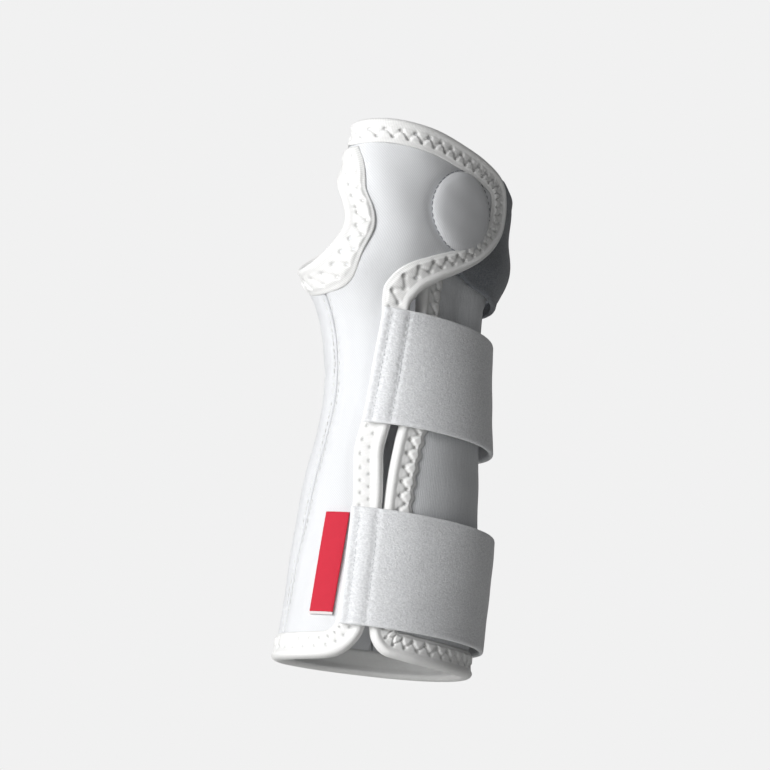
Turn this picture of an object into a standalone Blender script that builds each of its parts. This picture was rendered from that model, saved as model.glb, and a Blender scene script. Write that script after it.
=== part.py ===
"""Soft wrist support for a right hand, in its worn form and with nobody in it.

Metres. +Z runs along the forearm towards the hand, -Y is the back of the hand, +Y the palm and -X the thumb side.
The origin is the middle of the wrist. The cloth pieces are flat patterns of (turn, height), wrapped round one
smooth arm form: turn is in degrees from the line along the back of the hand, positive towards the little finger,
and every layer lies at its own rise above the form, so that layers that cross keep a named clearance.
"""
import math

import bmesh
import bpy
import numpy as np

MM = 0.001

# Lengths along the arm, from the wrist to the hem and to the edge at the fingers
FOREARM_LENGTH = 92 * MM
HAND_LENGTH = 86 * MM
# The inner size of the sleeve across and through the hand
FOREARM_WIDTH = 65 * MM
FOREARM_DEPTH = 53.2 * MM
WRIST_WIDTH = 54 * MM
WRIST_DEPTH = 41.2 * MM
PALM_WIDTH = 76 * MM
PALM_DEPTH = 35.7 * MM
THENAR_BULGE = 2.4 * MM
WEB_PULL = 7.5 * MM
# Walls
PANEL = 2.6 * MM
TAPE = 0.8 * MM
STRAP = 1.8 * MM
TAB = 1.8 * MM
HOOK = 1.2 * MM
LABEL = 0.6 * MM
# Widths
TAPE_BAND = 8.6 * MM
TAPE_ROLL = 1.7 * MM
STRAP_WIDTH = 38 * MM
THUMB_HOLE_WIDTH = 32 * MM
THUMB_HOLE_HEIGHT = 38 * MM
FLAP_HOOK_DIAMETER = 20 * MM
STRAP_HOOK_LENGTH = 28 * MM
LABEL_WIDTH = 7.3 * MM
LABEL_LENGTH = 33.4 * MM
STRAP_STAND_OFF = 2 * MM
# Clearances
LAYER_GAP = 0.35 * MM
TAPE_FIT = 0.6 * MM
SEAM_GAP = 0.35 * MM
MITRE_GAP = 0.6 * MM
EDGE_FIT = 0.2 * MM
STRAP_BELOW_FLAP = 1.8 * MM
STRAP_ABOVE_HEM = 11 * MM
HOOK_MARGIN = 2 * MM
# How deep the wrist-side panel's upper end lies under the hand flap
SINK = 3.4 * MM

# Where the openings and seams lie
THUMB_HOLE_MIDDLE = 0.634 * HAND_LENGTH
THUMB_HOLE_BEHIND_SIDE = 15.2 * MM
THUMB_HOLE_LEAN = 0.4
WEB_SEAM_TURN = -128
PALM_SEAM_TURN = -222
TAB_SEAM_TURN = 137
ULNAR_SEAM_TURN = 137
ULNAR_TOP = 0.49 * HAND_LENGTH
STRAP_END_TURN = 157.5
STRAP_LEAN = 1.8
LABEL_SHARE = 0.075
WEB_TURN = -130
FLAP_HOOK_TURN = -14
FLAP_HOOK_HEIGHT = 0.715 * HAND_LENGTH

# Lines at which every pattern is folded: whole turns and heights, as shares of the two lengths
TURN_STEP = 11.25
THUMB_SIDE_TURNS = (-147, -67)
FOREARM_FOLDS = (-1.1, -1, -0.875, -0.75, -0.625, -0.5, -0.375, -0.25, -0.125, 0)
HAND_FOLDS = (0.12, 0.24, 0.31, 0.38, 0.47, 0.53, 0.61, 0.7, 0.8, 0.9, 1, 1.1)

# Edge tables: (turn in degrees, height as a share of the forearm's or the hand's length)
THUMB_HEM = ((-117, -1.003), (-104, -1.005), (-86, -1.003), (-72, -0.995), (-63, -0.975), (-56, -0.935), (-52, -0.88))
THUMB_SLIT = ((-51.2, -0.8), (-50.4, -0.6), (-50.2, -0.435), (-52, -0.326), (-53.6, -0.245), (-51, -0.152),
              (-44, 0.05), (-38, 0.2), (-36, 0.29))
FLAP_LOWER = ((-32, 0.325), (-26, 0.36), (-17, 0.4), (-4, 0.46), (6, 0.53), (16, 0.627))
FLAP_END = ((20.5, 0.69), (21.5, 0.765), (20.5, 0.825), (17.5, 0.88), (11.5, 0.918))
FLAP_TOP = ((-2, 0.95), (-16, 0.97), (-30, 0.988), (-42, 0.995), (-60, 1), (-84, 0.995), (-100, 0.993),
            (WEB_SEAM_TURN, 0.985))
PALM_TOP = ((WEB_SEAM_TURN, 0.985), (-150, 0.978), (-180, 0.955), (-205, 0.92), (PALM_SEAM_TURN, 0.89))
SLEEVE_HEM = ((-117, -1.003), (-150, -0.995), (-180, -0.985), (-220, -0.975), (-270, -0.972), (-318, -0.975),
              (-350, -0.982), (-377, -0.98), (-388, -0.975), (-399, -0.965), (-406, -0.93), (-409.2, -0.88))
ULNAR_SLIT = ((-409.2, -0.8), (-409.1, -0.6), (-409, -0.435), (-408, -0.288), (-405, -0.147), (-396, 0.06),
              (-387, 0.26), (-382, 0.36), (-376, 0.46), (-374, 0.483))
THUMB_SEAM = ((-117, -1.003), (-116, -0.87), (-112, -0.652), (-106, -0.43), (-103.5, -0.16), (-101, 0.05),
              (-100, 0.25), (-100, 0.5))
TAB_EDGE = ((-30, 0.57), (-14, 0.53), (0, 0.485), (14, 0.45), (34, 0.425), (60, 0.42), (100, 0.42),
            (TAB_SEAM_TURN, 0.425), (TAB_SEAM_TURN, 0.885), (100, 0.885), (60, 0.907), (42, 0.925), (32, 0.945),
            (22, 0.945), (5, 0.925), (-20, 0.93), (-31, 0.91), (-35, 0.87), (-35, 0.61))


def smooth(value, start, end):
    share = np.clip((value - start) / (end - start), 0, 1)
    return share * share * (3 - 2 * share)


def height(share):
    return share * (HAND_LENGTH if share > 0 else FOREARM_LENGTH)


# The arm form: (height, width, depth, side shift, palm shift) of its elliptical sections
ARM = np.array((
    (-1.043 * FOREARM_LENGTH, FOREARM_WIDTH, FOREARM_DEPTH, 0, 0),
    (-0.40 * FOREARM_LENGTH, 0.923 * FOREARM_WIDTH, 0.925 * FOREARM_DEPTH, 0, 0),
    (0, WRIST_WIDTH, WRIST_DEPTH, 0, 0),
    (0.30 * HAND_LENGTH, 1.11 * WRIST_WIDTH, 1.015 * WRIST_DEPTH, -0.065 * WRIST_WIDTH, 0.033 * WRIST_WIDTH),
    (0.44 * HAND_LENGTH, 0.908 * PALM_WIDTH, 1.23 * PALM_DEPTH, -0.079 * PALM_WIDTH, 0.038 * PALM_WIDTH),
    (0.58 * HAND_LENGTH, 0.96 * PALM_WIDTH, 1.12 * PALM_DEPTH, -0.037 * PALM_WIDTH, 0.005 * PALM_WIDTH),
    (0.75 * HAND_LENGTH, PALM_WIDTH, PALM_DEPTH, 0, 0),
    (1.12 * HAND_LENGTH, PALM_WIDTH, 0.98 * PALM_DEPTH, 0, 0),
))
ARM_SLOPES = np.gradient(ARM, ARM[:, 0], axis=0)


def section(z):
    """Half width, half depth and centre of the arm form at height z."""
    row = min(max(int(np.searchsorted(ARM[:, 0], z)) - 1, 0), len(ARM) - 2)
    span = ARM[row + 1, 0] - ARM[row, 0]
    t = min(max((z - ARM[row, 0]) / span, 0), 1)
    start = (2 * t**3 - 3 * t**2 + 1) * ARM[row] + (t**3 - 2 * t**2 + t) * span * ARM_SLOPES[row]
    end = (3 * t**2 - 2 * t**3) * ARM[row + 1] + (t**3 - t**2) * span * ARM_SLOPES[row + 1]
    _, width, depth, side, palm = start + end
    return width / 2, depth / 2, side, palm


def nearest_turn(turn):
    return (turn + 180) % 360 - 180


def thenar(turn, z):
    """The swelling at the base of the thumb, less the pull where the cloth turns in between thumb and finger."""
    around = (nearest_turn(turn) + 105) / 34
    along = (z - 0.42 * HAND_LENGTH) / (0.15 * HAND_LENGTH)
    web = 0.4 * smooth(z, 0.62 * HAND_LENGTH, 0.8 * HAND_LENGTH)
    web += 0.6 * smooth(z, 0.84 * HAND_LENGTH, 1.04 * HAND_LENGTH)
    web *= math.cos(math.radians(turn - WEB_TURN) / 2) ** 20
    return THENAR_BULGE * math.exp(-around**2 - along**2) - WEB_PULL * web


def form_point(turn, z, rise):
    """The point at a rise above the arm form's smooth surface."""
    half_width, half_depth, side, palm = section(z)
    angle = math.radians(turn)
    sine = math.sin(angle)
    cosine = math.cos(angle)
    normal = np.array((sine / half_width, -cosine / half_depth))
    normal /= np.hypot(*normal)
    rise += thenar(turn, z)
    return np.array((side + half_width * sine + rise * normal[0], palm - half_depth * cosine + rise * normal[1], z))


def fold_heights():
    return np.array([height(share) for share in FOREARM_FOLDS + HAND_FOLDS])


def turn_folds(turn):
    """The fold lines on either side of a turn; they lie closer together where the thumb side bends most."""
    left = math.floor(turn / TURN_STEP) * TURN_STEP
    middle = left + TURN_STEP / 2
    if THUMB_SIDE_TURNS[0] < nearest_turn(middle) < THUMB_SIDE_TURNS[1]:
        return (middle, left + TURN_STEP) if turn >= middle else (left, middle)
    return left, left + TURN_STEP


def cell(turn, z):
    """The fold lines round a pattern point."""
    folds = fold_heights()
    row = int(np.clip(np.searchsorted(folds, z) - 1, 0, len(folds) - 2))
    return *turn_folds(turn), folds[row], folds[row + 1]


def wrap(turn, z, rise, above):
    """The point above a layer, with the form taken as two flat triangles in each cell of the fold lines.

    Layers then stay parallel, however each is cut.
    """
    left, right, low, high = cell(turn, z)
    across = (turn - left) / (right - left)
    up = (z - low) / (high - low)
    if across >= up:
        corners = ((left, low, 1 - across), (right, low, across - up), (right, high, up))
    else:
        corners = ((left, low, 1 - up), (left, high, up - across), (right, high, across))
    return sum(share * form_point(edge, level, rise(edge, level) + above) for edge, level, share in corners)


def reach_per_degree(turn, z):
    half_width, half_depth, _, _ = section(z)
    angle = math.radians(turn)
    return math.radians(math.hypot(half_width * math.cos(angle), half_depth * math.sin(angle)))


def shifted(turn, z, around, along):
    """A pattern point moved by two lengths on the form."""
    middle = turn
    for _ in range(3):
        moved = turn + around / reach_per_degree(middle, z + along / 2)
        middle = (turn + moved) / 2
    return moved, z + along


# Rises of the layers above the form
def sink(turn, z):
    turn = nearest_turn(turn)
    return SINK * smooth(z, 0.093 * HAND_LENGTH, 0.326 * HAND_LENGTH) * (1 - smooth(turn, 10, 33))


def sleeve_rise(turn, z):
    return -sink(turn, z)


def tab_lift(turn, z):
    under = PANEL + TAPE_FIT + TAPE + LAYER_GAP - SINK * (1 - smooth(nearest_turn(turn), 10, 33))
    far = 0.674 + 0.13 * smooth(nearest_turn(turn), 20, 45)
    return under * (1 - smooth(z, 0.51 * HAND_LENGTH, far * HAND_LENGTH))


def tab_rise(turn, z):
    return LAYER_GAP + tab_lift(turn, z)


def flap_hook_rise(turn, z):
    return tab_rise(turn, z) + TAB + LAYER_GAP


def flap_rise(turn, z):
    full = flap_hook_rise(turn, z) + HOOK + LAYER_GAP
    share = smooth(nearest_turn(turn), -88, -36) * smooth(z, 0.24 * HAND_LENGTH, 0.5 * HAND_LENGTH)
    return full * share


def base_rise(turn, z):
    return 0


def strap_hook_rise(turn, z):
    return PANEL + LAYER_GAP


def strap_rise(turn, z):
    """The straps stand off a little at the side of the little finger, most at the lower strap's top."""
    level = PANEL + LAYER_GAP + max(HOOK, TAPE_FIT + TAPE) + LAYER_GAP
    share = smooth(z, -0.88 * FOREARM_LENGTH, -0.46 * FOREARM_LENGTH) * (1 - smooth(z, -0.42 * FOREARM_LENGTH, 0))
    side = smooth(turn, -25, 25) * (1 - smooth(turn, 70, 115))
    return level + side * STRAP_STAND_OFF * (0.35 + 0.65 * share)


# Pattern lines
def dense(table, steps=14):
    """Points along a smooth curve through a table's rows."""
    rows = np.array([(turn, height(share)) for turn, share in table])
    ends = np.vstack((2 * rows[0] - rows[1], rows, 2 * rows[-1] - rows[-2]))
    points = []
    for i in range(1, len(ends) - 2):
        for k in range(steps):
            t = k / steps
            before, start, end, after = ends[i - 1:i + 3]
            bend = (2 * start - 2 * end + (end - before) / 2 + (after - start) / 2) * t**3
            bend += (3 * end - 3 * start - (end - before) - (after - start) / 2) * t**2
            points.append(start + (end - before) / 2 * t + bend)
    points.append(rows[-1])
    return np.array(points)


def lengths(points):
    """Length run along a line of pattern points, on the form."""
    run = [0.0]
    for first, second in zip(points[:-1], points[1:]):
        speed = reach_per_degree((first[0] + second[0]) / 2, (first[1] + second[1]) / 2)
        run.append(run[-1] + math.hypot((second[0] - first[0]) * speed, second[1] - first[1]))
    return np.array(run)


def crossings(points, run, column, lines):
    """Lengths at which a line of points crosses the given fold lines."""
    found = []
    for k in range(len(points) - 1):
        low, high = sorted((points[k, column], points[k + 1, column]))
        for line in lines[(lines > low) & (lines <= high)]:
            share = (line - points[k, column]) / (points[k + 1, column] - points[k, column])
            found.append(run[k] + share * (run[k + 1] - run[k]))
    return found


def all_turn_folds():
    folds = [TURN_STEP * step for step in range(-40, 17)]
    middles = [fold + TURN_STEP / 2 for fold in folds]
    low, high = THUMB_SIDE_TURNS
    return np.array(sorted(folds + [middle for middle in middles if low < nearest_turn(middle) < high]))


def at(points, run, where):
    return np.interp(where, run, points[:, 0]), np.interp(where, run, points[:, 1])


def heading(points, run, where, window=7 * MM):
    """Direction of a line on the form, eased over a window so that bands turn corners without a fold."""
    window = max(min(window, where, run[-1] - where), 0.4 * MM)
    ahead = np.array(at(points, run, min(where + window, run[-1])))
    behind = np.array(at(points, run, max(where - window, 0)))
    step = (ahead - behind) * (reach_per_degree(*(ahead + behind) / 2), 1)
    return step / np.hypot(*step)


def station_lengths(points, run, apart=2.6 * MM, widest=6.5 * MM):
    """Where a binding's sections lie: at the folds that it crosses and where it turns."""
    turns = all_turn_folds()
    around = []
    along = []
    for where in crossings(points, run, 0, turns):
        if abs(heading(points, run, where, 2 * MM)[0]) > 0.6:
            around.append(where)
    for where in crossings(points, run, 1, fold_heights()):
        if abs(heading(points, run, where, 2 * MM)[1]) > 0.5:
            along.append(where)
    chosen = [0.0, run[-1]]
    for where in around + along:
        if min(abs(where - other) for other in chosen) > apart:
            chosen.append(where)
    chosen.sort()
    filled = [chosen[0]]
    for where in chosen[1:]:
        parts = math.ceil((where - filled[-1]) / widest)
        turned = heading(points, run, where, 1 * MM) @ heading(points, run, filled[-1], 1 * MM)
        if turned < 0.93 and where - filled[-1] > 2 * apart:
            parts = max(parts, 2)
        start = filled[-1]
        filled += [start + (where - start) * k / parts for k in range(1, parts + 1)]
    return filled


class Edge:
    """A bound edge: its stations and, at each, the direction into the cloth."""

    def __init__(self, tables, side):
        self.points = np.vstack([dense(sum(tables, ()))])
        self.run = lengths(self.points)
        self.stations = []
        for where in station_lengths(self.points, self.run):
            turn, z = at(self.points, self.run, where)
            east, north = heading(self.points, self.run, where)
            self.stations.append((turn, z, -side * north, side * east))

    def raw(self):
        """The cut edge of the cloth inside the folded tape."""
        return [shifted(turn, z, inset * across, inset * up)
                for turn, z, across, up in self.stations
                for inset in (TAPE_ROLL + EDGE_FIT,)]


def side_reach(z, turn):
    """Length on the form from the thumb side's line to a turn past it, towards the palm."""
    steps = np.linspace(-90, turn, 25)
    middles = (steps[:-1] + steps[1:]) / 2
    return sum(reach_per_degree(middle, z) for middle in middles) * (steps[0] - steps[-1]) / 24


def side_turn(z, reach):
    turns = np.linspace(-10, -220, 22)
    return float(np.interp(reach, [side_reach(z, turn) for turn in turns], turns))


def thumb_rim(angle, inset):
    """A point round the thumb hole, at a distance into the cloth from its finished rim."""
    rise = (THUMB_HOLE_HEIGHT / 2 + inset) * math.sin(angle)
    spread = (THUMB_HOLE_WIDTH / 2 + inset) * math.cos(angle)
    z = THUMB_HOLE_MIDDLE + rise
    return side_turn(z, THUMB_HOLE_BEHIND_SIDE - spread + THUMB_HOLE_LEAN * rise), z


def rim_angle(turn, start, inset):
    """The angle at which the rim crosses a turn, searched for near a start angle."""
    angles = np.linspace(start - 1.0, start + 1.0, 81)
    return min(angles, key=lambda angle: abs(thumb_rim(angle, inset)[0] - turn))


def span_to(points, turn, z):
    """Shortest length on the form from a place to a line of points."""
    speed = reach_per_degree(turn, z)
    return min(math.hypot((other[0] - turn) * speed, other[1] - z) for other in points)


# Solids
def make_object(name, vertices, faces, material):
    mesh = bpy.data.meshes.new(name)
    mesh.from_pydata([tuple(vertex) for vertex in vertices], [], faces)
    body = bmesh.new()
    body.from_mesh(mesh)
    bmesh.ops.triangulate(body, faces=body.faces[:], quad_method="SHORT_EDGE", ngon_method="BEAUTY")
    bmesh.ops.recalc_face_normals(body, faces=body.faces[:])
    body.to_mesh(mesh)
    body.free()
    mesh.materials.append(material)
    made = bpy.data.objects.new(name, mesh)
    bpy.context.scene.collection.objects.link(made)
    return made


def folded_pattern(outline):
    """The flat pattern cut along the fold lines, as points and faces."""
    scale = math.radians(0.5 * WRIST_WIDTH)
    flat = bmesh.new()
    corners = [flat.verts.new((turn * scale, z, 0)) for turn, z in outline]
    flat.faces.new(corners)
    turns = [turn for turn, _ in outline]
    cuts = [((turn * scale, 0, 0), (1, 0, 0)) for turn in all_turn_folds() if min(turns) < turn < max(turns)]
    cuts += [((0, z, 0), (0, 1, 0)) for z in fold_heights()]
    for place, across in cuts:
        everything = flat.verts[:] + flat.edges[:] + flat.faces[:]
        bmesh.ops.bisect_plane(flat, geom=everything, dist=0.12 * MM, plane_co=place, plane_no=across)
    for face in flat.faces[:]:
        middle = face.calc_center_median()
        left, right, low, high = cell(middle.x / scale, middle.y)
        slant = (low - high, (right - left) * scale, 0)
        parts = [face] + face.edges[:] + face.verts[:]
        bmesh.ops.bisect_plane(flat, geom=parts, dist=0.12 * MM, plane_co=(left * scale, low, 0), plane_no=slant)
    flat.verts.index_update()
    points = [(vertex.co.x / scale, vertex.co.y) for vertex in flat.verts]
    faces = [[vertex.index for vertex in face.verts] for face in flat.faces]
    rim = [[vertex.index for vertex in edge.verts] for edge in flat.edges if edge.is_boundary]
    flat.free()
    return points, faces, rim


def make_sheet(name, outline, rise, wall, material):
    """A cloth piece: its folded pattern, wrapped at two rises and closed round the rim."""
    points, faces, rim = folded_pattern(outline)
    count = len(points)
    vertices = [wrap(turn, z, rise, above) for above in (wall, 0) for turn, z in points]
    under = [[index + count for index in reversed(face)] for face in faces]
    walls = [[a, b, b + count, a + count] for a, b in rim]
    return make_object(name, vertices, faces + under + walls, material)


def fold_in_band(place_at, band):
    """Where a band, crossed from edge to edge, meets the fold line nearest to its middle."""
    insets = np.linspace(TAPE_ROLL + 1 * MM, band - 1 * MM, 25)
    cells = [(turn_folds(turn)[0], int(np.searchsorted(fold_heights(), z))) for turn, z in map(place_at, insets)]
    folds = [(insets[k] + insets[k + 1]) / 2 for k in range(len(insets) - 1) if cells[k] != cells[k + 1]]
    return min(folds, key=lambda inset: abs(inset - band / 2), default=band / 2)


def tape_profile(band, bend):
    """The folded tape in section: (distance into the cloth, rise), outside first, then the inside."""
    middle = PANEL / 2
    top = PANEL + TAPE_FIT + TAPE
    bottom = PANEL - top
    shoulder = 0.62 * (top - middle)
    outside = [(band, top), (bend, top), (TAPE_ROLL, top), (0.28 * TAPE_ROLL, middle + shoulder), (0, middle)]
    outside += [(0.28 * TAPE_ROLL, middle - shoulder), (TAPE_ROLL, bottom), (bend, bottom), (band, bottom)]
    inside = [(band, bottom + TAPE), (bend, bottom + TAPE), (0.8 * TAPE_ROLL, bottom + TAPE), (TAPE, middle)]
    inside += [(0.8 * TAPE_ROLL, top - TAPE), (bend, top - TAPE), (band, top - TAPE)]
    return outside + inside


def make_tape(name, sections, closed, material):
    """A swept solid through sections of equal point count."""
    size = len(sections[0])
    vertices = [point for ring in sections for point in ring]
    faces = []
    for k in range(len(sections) - (0 if closed else 1)):
        following = (k + 1) % len(sections)
        for i in range(size):
            j = (i + 1) % size
            faces.append([k * size + i, k * size + j, following * size + j, following * size + i])
    if not closed:
        faces.append(list(range(size)))
        faces.append([(len(sections) - 1) * size + i for i in reversed(range(size))])
    return make_object(name, vertices, faces, material)


def tape_section(place_at, rise, band):
    """One ring of the folded tape, where place_at gives the pattern point at a distance into the cloth."""
    profile = tape_profile(band, fold_in_band(place_at, band))
    return [wrap(*place_at(inset), rise, above) for inset, above in profile]


def edge_sections(edge, rise, band_at):
    return [tape_section(lambda inset: shifted(turn, z, inset * across, inset * up), rise, band_at(turn, z))
            for turn, z, across, up in edge.stations]


def cloth_material(name, colour, roughness):
    material = bpy.data.materials.new(name)
    material.use_nodes = True
    surface = material.node_tree.nodes["Principled BSDF"]
    surface.inputs["Base Color"].default_value = (*colour, 1)
    surface.inputs["Roughness"].default_value = roughness
    material.diffuse_color = (*colour, 1)
    return material


def seam_line(table, turn_shift, low, high):
    """Points up a seam, moved sideways by half of its gap."""
    points = dense(table)
    heights = [z for z in fold_heights() if low + 2 * MM < z < high - 2 * MM]
    line = []
    for z in [low] + heights + [high]:
        turn = float(np.interp(z, points[:, 1], points[:, 0]))
        line.append(shifted(turn, z, turn_shift, 0))
    return line


def straight_seam(turn, turn_shift, low, high):
    heights = [z for z in fold_heights() if low + 2 * MM < z < high - 2 * MM]
    return [shifted(turn, z, turn_shift, 0) for z in [low] + heights + [high]]


# Edges and panels
def rim_run(start, end, step=10):
    """Cut-edge points round the thumb hole, from one angle to another, with the whole steps between them."""
    inset = TAPE_ROLL + EDGE_FIT
    low, high = sorted((start, end))
    steps = [math.radians(step * k) for k in range(-72, 73)]
    angles = [angle for angle in steps if low + 0.06 < angle < high - 0.06]
    if start > end:
        angles.reverse()
    return [thumb_rim(angle, inset) for angle in [start] + angles + [end]]


def half_gap(turn, z):
    return SEAM_GAP / 2 / reach_per_degree(turn, z)


def seam_meets_rim(turn, start, sideways):
    """The angle on the cut rim at which a seam, moved sideways by half of its gap, ends."""
    inset = TAPE_ROLL + EDGE_FIT
    z = thumb_rim(start, inset)[1]
    return rim_angle(turn + sideways * half_gap(turn, z), start, inset)


def thumb_panel_outline(flap_edge):
    cut = flap_edge.raw()
    web = seam_meets_rim(WEB_SEAM_TURN, math.pi / 2, 1)
    low = seam_meets_rim(-100, -math.pi / 2, 1)
    rim = rim_run(web, low)
    top = cut[-1][1]
    web_line = straight_seam(WEB_SEAM_TURN, SEAM_GAP / 2, rim[0][1], top)
    seam = seam_line(THUMB_SEAM, SEAM_GAP / 2, cut[0][1], rim[-1][1])
    outline = [seam[0]] + cut[1:-1] + web_line[::-1][:-1] + rim + seam[::-1][1:-1]
    return outline


def palm_panel_outline(hem_edge, palm_edge):
    cut = [point for point in hem_edge.raw() if point[0] > ULNAR_SEAM_TURN - 360 + 2][1:]
    web = seam_meets_rim(WEB_SEAM_TURN, math.pi / 2, -1)
    low = seam_meets_rim(-100, -math.pi / 2, -1)
    rim = rim_run(low + 2 * math.pi, web)
    hem_z = hem_edge.raw()[0][1]
    seam = seam_line(THUMB_SEAM, -SEAM_GAP / 2, hem_z, rim[0][1])
    palm = palm_edge.raw()
    web_line = straight_seam(WEB_SEAM_TURN, -SEAM_GAP / 2, rim[-1][1], palm[0][1])
    ulnar_hem = hem_height(hem_edge, ULNAR_SEAM_TURN - 360)
    ulnar = straight_seam(ULNAR_SEAM_TURN - 360, SEAM_GAP / 2, ulnar_hem, palm[-1][1])
    return seam[::-1] + cut + ulnar + palm[::-1][1:-1] + web_line[::-1][:-1] + rim[::-1][:-1]


def hem_height(hem_edge, turn):
    cut = sorted(hem_edge.raw())
    return float(np.interp(turn, [point[0] for point in cut], [point[1] for point in cut]))


def ulnar_panel_outline(hem_edge):
    cut = [point for point in hem_edge.raw() if point[0] < ULNAR_SEAM_TURN - 360 - 2]
    hem_z = hem_height(hem_edge, ULNAR_SEAM_TURN - 360)
    seam = straight_seam(ULNAR_SEAM_TURN - 360, -SEAM_GAP / 2, hem_z, ULNAR_TOP)
    slit_top = cut[-1]
    return [(turn + 360, z) for turn, z in seam[::-1] + cut[:-1] + [(slit_top[0], ULNAR_TOP)]]


def strap_outline(low, left_low, left_high, corner=0.12):
    high = low + STRAP_WIDTH
    nip = corner * STRAP_WIDTH
    near = STRAP_END_TURN - TURN_STEP
    lean = left_high - left_low
    heights = (high, *reversed(inner_folds(low, high)), low)
    left = [(left_low + lean * ((z - low) / STRAP_WIDTH) ** STRAP_LEAN, z) for z in heights]
    end_low = shifted(STRAP_END_TURN, low, -nip, 0)
    end_high = shifted(STRAP_END_TURN, high, -nip, 0)
    return left + [(near, low), end_low, (STRAP_END_TURN, low + nip), (STRAP_END_TURN, high - nip), end_high,
                   (near, high)]


def inner_folds(low, high):
    return [z for z in fold_heights() if low + 2 * MM < z < high - 2 * MM]


def strap_hook_outline(low):
    end_turn = STRAP_END_TURN - HOOK_MARGIN / reach_per_degree(STRAP_END_TURN, low)
    start_turn = end_turn - STRAP_HOOK_LENGTH / reach_per_degree(STRAP_END_TURN, low)
    bottom = low + HOOK_MARGIN
    top = low + STRAP_WIDTH - HOOK_MARGIN
    return [(start_turn, top), (start_turn, bottom), (end_turn, bottom), (end_turn, top)]


def disc_outline(turn, z, diameter, sides=20):
    steps = [2 * math.pi * k / sides for k in range(sides)]
    return [shifted(turn, z, diameter / 2 * math.cos(step), diameter / 2 * math.sin(step)) for step in steps]


def label_outline(strap_low, right_low, right_high):
    bottom = strap_low + LABEL_SHARE * STRAP_WIDTH
    top = bottom + LABEL_LENGTH
    low = [shifted(right_low, bottom, -LABEL_WIDTH, 0), (right_low, bottom)]
    return low + [(right_high, top), shifted(right_high, top, -LABEL_WIDTH, 0)]


def thumb_tape_sections(top_points, sides=36):
    sections = []
    for k in range(sides):
        angle = 2 * math.pi * k / sides
        room = span_to(top_points, *thumb_rim(angle, 0))
        band = min(TAPE_BAND, (room - MITRE_GAP) / 2)
        sections.append(tape_section(lambda inset: thumb_rim(angle, inset), flap_rise, band))
    return sections


def clear_scene():
    for old in list(bpy.data.objects):
        bpy.data.objects.remove(old, do_unlink=True)


def build():
    clear_scene()
    white = (0.8, 0.79, 0.78)
    grey = (0.42, 0.43, 0.46)
    half = SEAM_GAP / 2 / reach_per_degree(-117, -FOREARM_LENGTH)
    web_half = SEAM_GAP / 2 / reach_per_degree(WEB_SEAM_TURN, HAND_LENGTH)
    hem_start = ((-117 + half, -1.003),)
    flap_end = ((WEB_SEAM_TURN + web_half, 0.985),)
    flap_edge = Edge((hem_start, THUMB_HEM[1:], THUMB_SLIT, FLAP_LOWER, FLAP_END, FLAP_TOP[:-1], flap_end), 1)
    hem_edge = Edge((((-117 - half, -1.003),), SLEEVE_HEM[1:], ULNAR_SLIT), -1)
    palm_edge = Edge((((WEB_SEAM_TURN - web_half, 0.985),), PALM_TOP[1:]), 1)
    rim_points = [thumb_rim(math.radians(step), 0) for step in range(0, 360, 5)]
    top_points = np.vstack((dense(FLAP_TOP), dense(PALM_TOP)))

    def shared_band(turn, z):
        room = span_to(rim_points, turn, z)
        return min(TAPE_BAND, (room - MITRE_GAP) / 2)

    make_sheet("thumb_panel", thumb_panel_outline(flap_edge), flap_rise, PANEL,
               cloth_material("thumb_panel_cloth", white, 0.8))
    make_sheet("palm_panel", palm_panel_outline(hem_edge, palm_edge), base_rise, PANEL,
               cloth_material("palm_panel_cloth", white, 0.8))
    make_sheet("back_panel", ulnar_panel_outline(hem_edge), sleeve_rise, PANEL,
               cloth_material("back_panel_cloth", grey, 0.9))
    tab_outline = [(turn - (0.3 if turn == TAB_SEAM_TURN else 0), height(share)) for turn, share in TAB_EDGE]
    make_sheet("hand_tab", tab_outline, tab_rise, TAB, cloth_material("hand_tab_cloth", grey, 0.9))
    make_tape("thumb_binding", thumb_tape_sections(top_points), True, cloth_material("thumb_tape", white, 0.75))
    make_tape("flap_binding", edge_sections(flap_edge, flap_rise, shared_band), False,
              cloth_material("flap_tape", white, 0.75))
    make_tape("hem_binding", edge_sections(hem_edge, sleeve_rise, lambda turn, z: TAPE_BAND), False,
              cloth_material("hem_tape", white, 0.75))
    make_tape("palm_binding", edge_sections(palm_edge, base_rise, shared_band), False,
              cloth_material("palm_tape", white, 0.75))
    upper_low = height(THUMB_SLIT[-1][1]) - STRAP_BELOW_FLAP - STRAP_WIDTH
    lower_low = -FOREARM_LENGTH + STRAP_ABOVE_HEM
    make_sheet("upper_strap", strap_outline(upper_low, -70, -55.5), strap_rise, STRAP,
               cloth_material("upper_strap_loop", grey, 0.95))
    make_sheet("lower_strap", strap_outline(lower_low, -67, -68), strap_rise, STRAP,
               cloth_material("lower_strap_loop", grey, 0.95))
    make_sheet("upper_strap_hook", strap_hook_outline(upper_low), strap_hook_rise, HOOK,
               cloth_material("upper_hook_nylon", white, 0.6))
    make_sheet("lower_strap_hook", strap_hook_outline(lower_low), strap_hook_rise, HOOK,
               cloth_material("lower_hook_nylon", white, 0.6))
    make_sheet("flap_hook", disc_outline(FLAP_HOOK_TURN, FLAP_HOOK_HEIGHT, FLAP_HOOK_DIAMETER), flap_hook_rise, HOOK,
               cloth_material("flap_hook_nylon", white, 0.6))
    make_sheet("label", label_outline(lower_low, -72, -69.5), strap_hook_rise, LABEL,
               cloth_material("label_cloth", (0.75, 0.05, 0.08), 0.7))


build()
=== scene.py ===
"""Looks of a soft wrist support, held up in its worn form, with nobody in it.

Metres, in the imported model's frame: +Z along the forearm towards the hand, -Y the back of the hand, +Y the palm,
-X the thumb side. The cloth pieces are flat patterns of (turn, height) wrapped round one smooth arm form.
"""
import math

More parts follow.
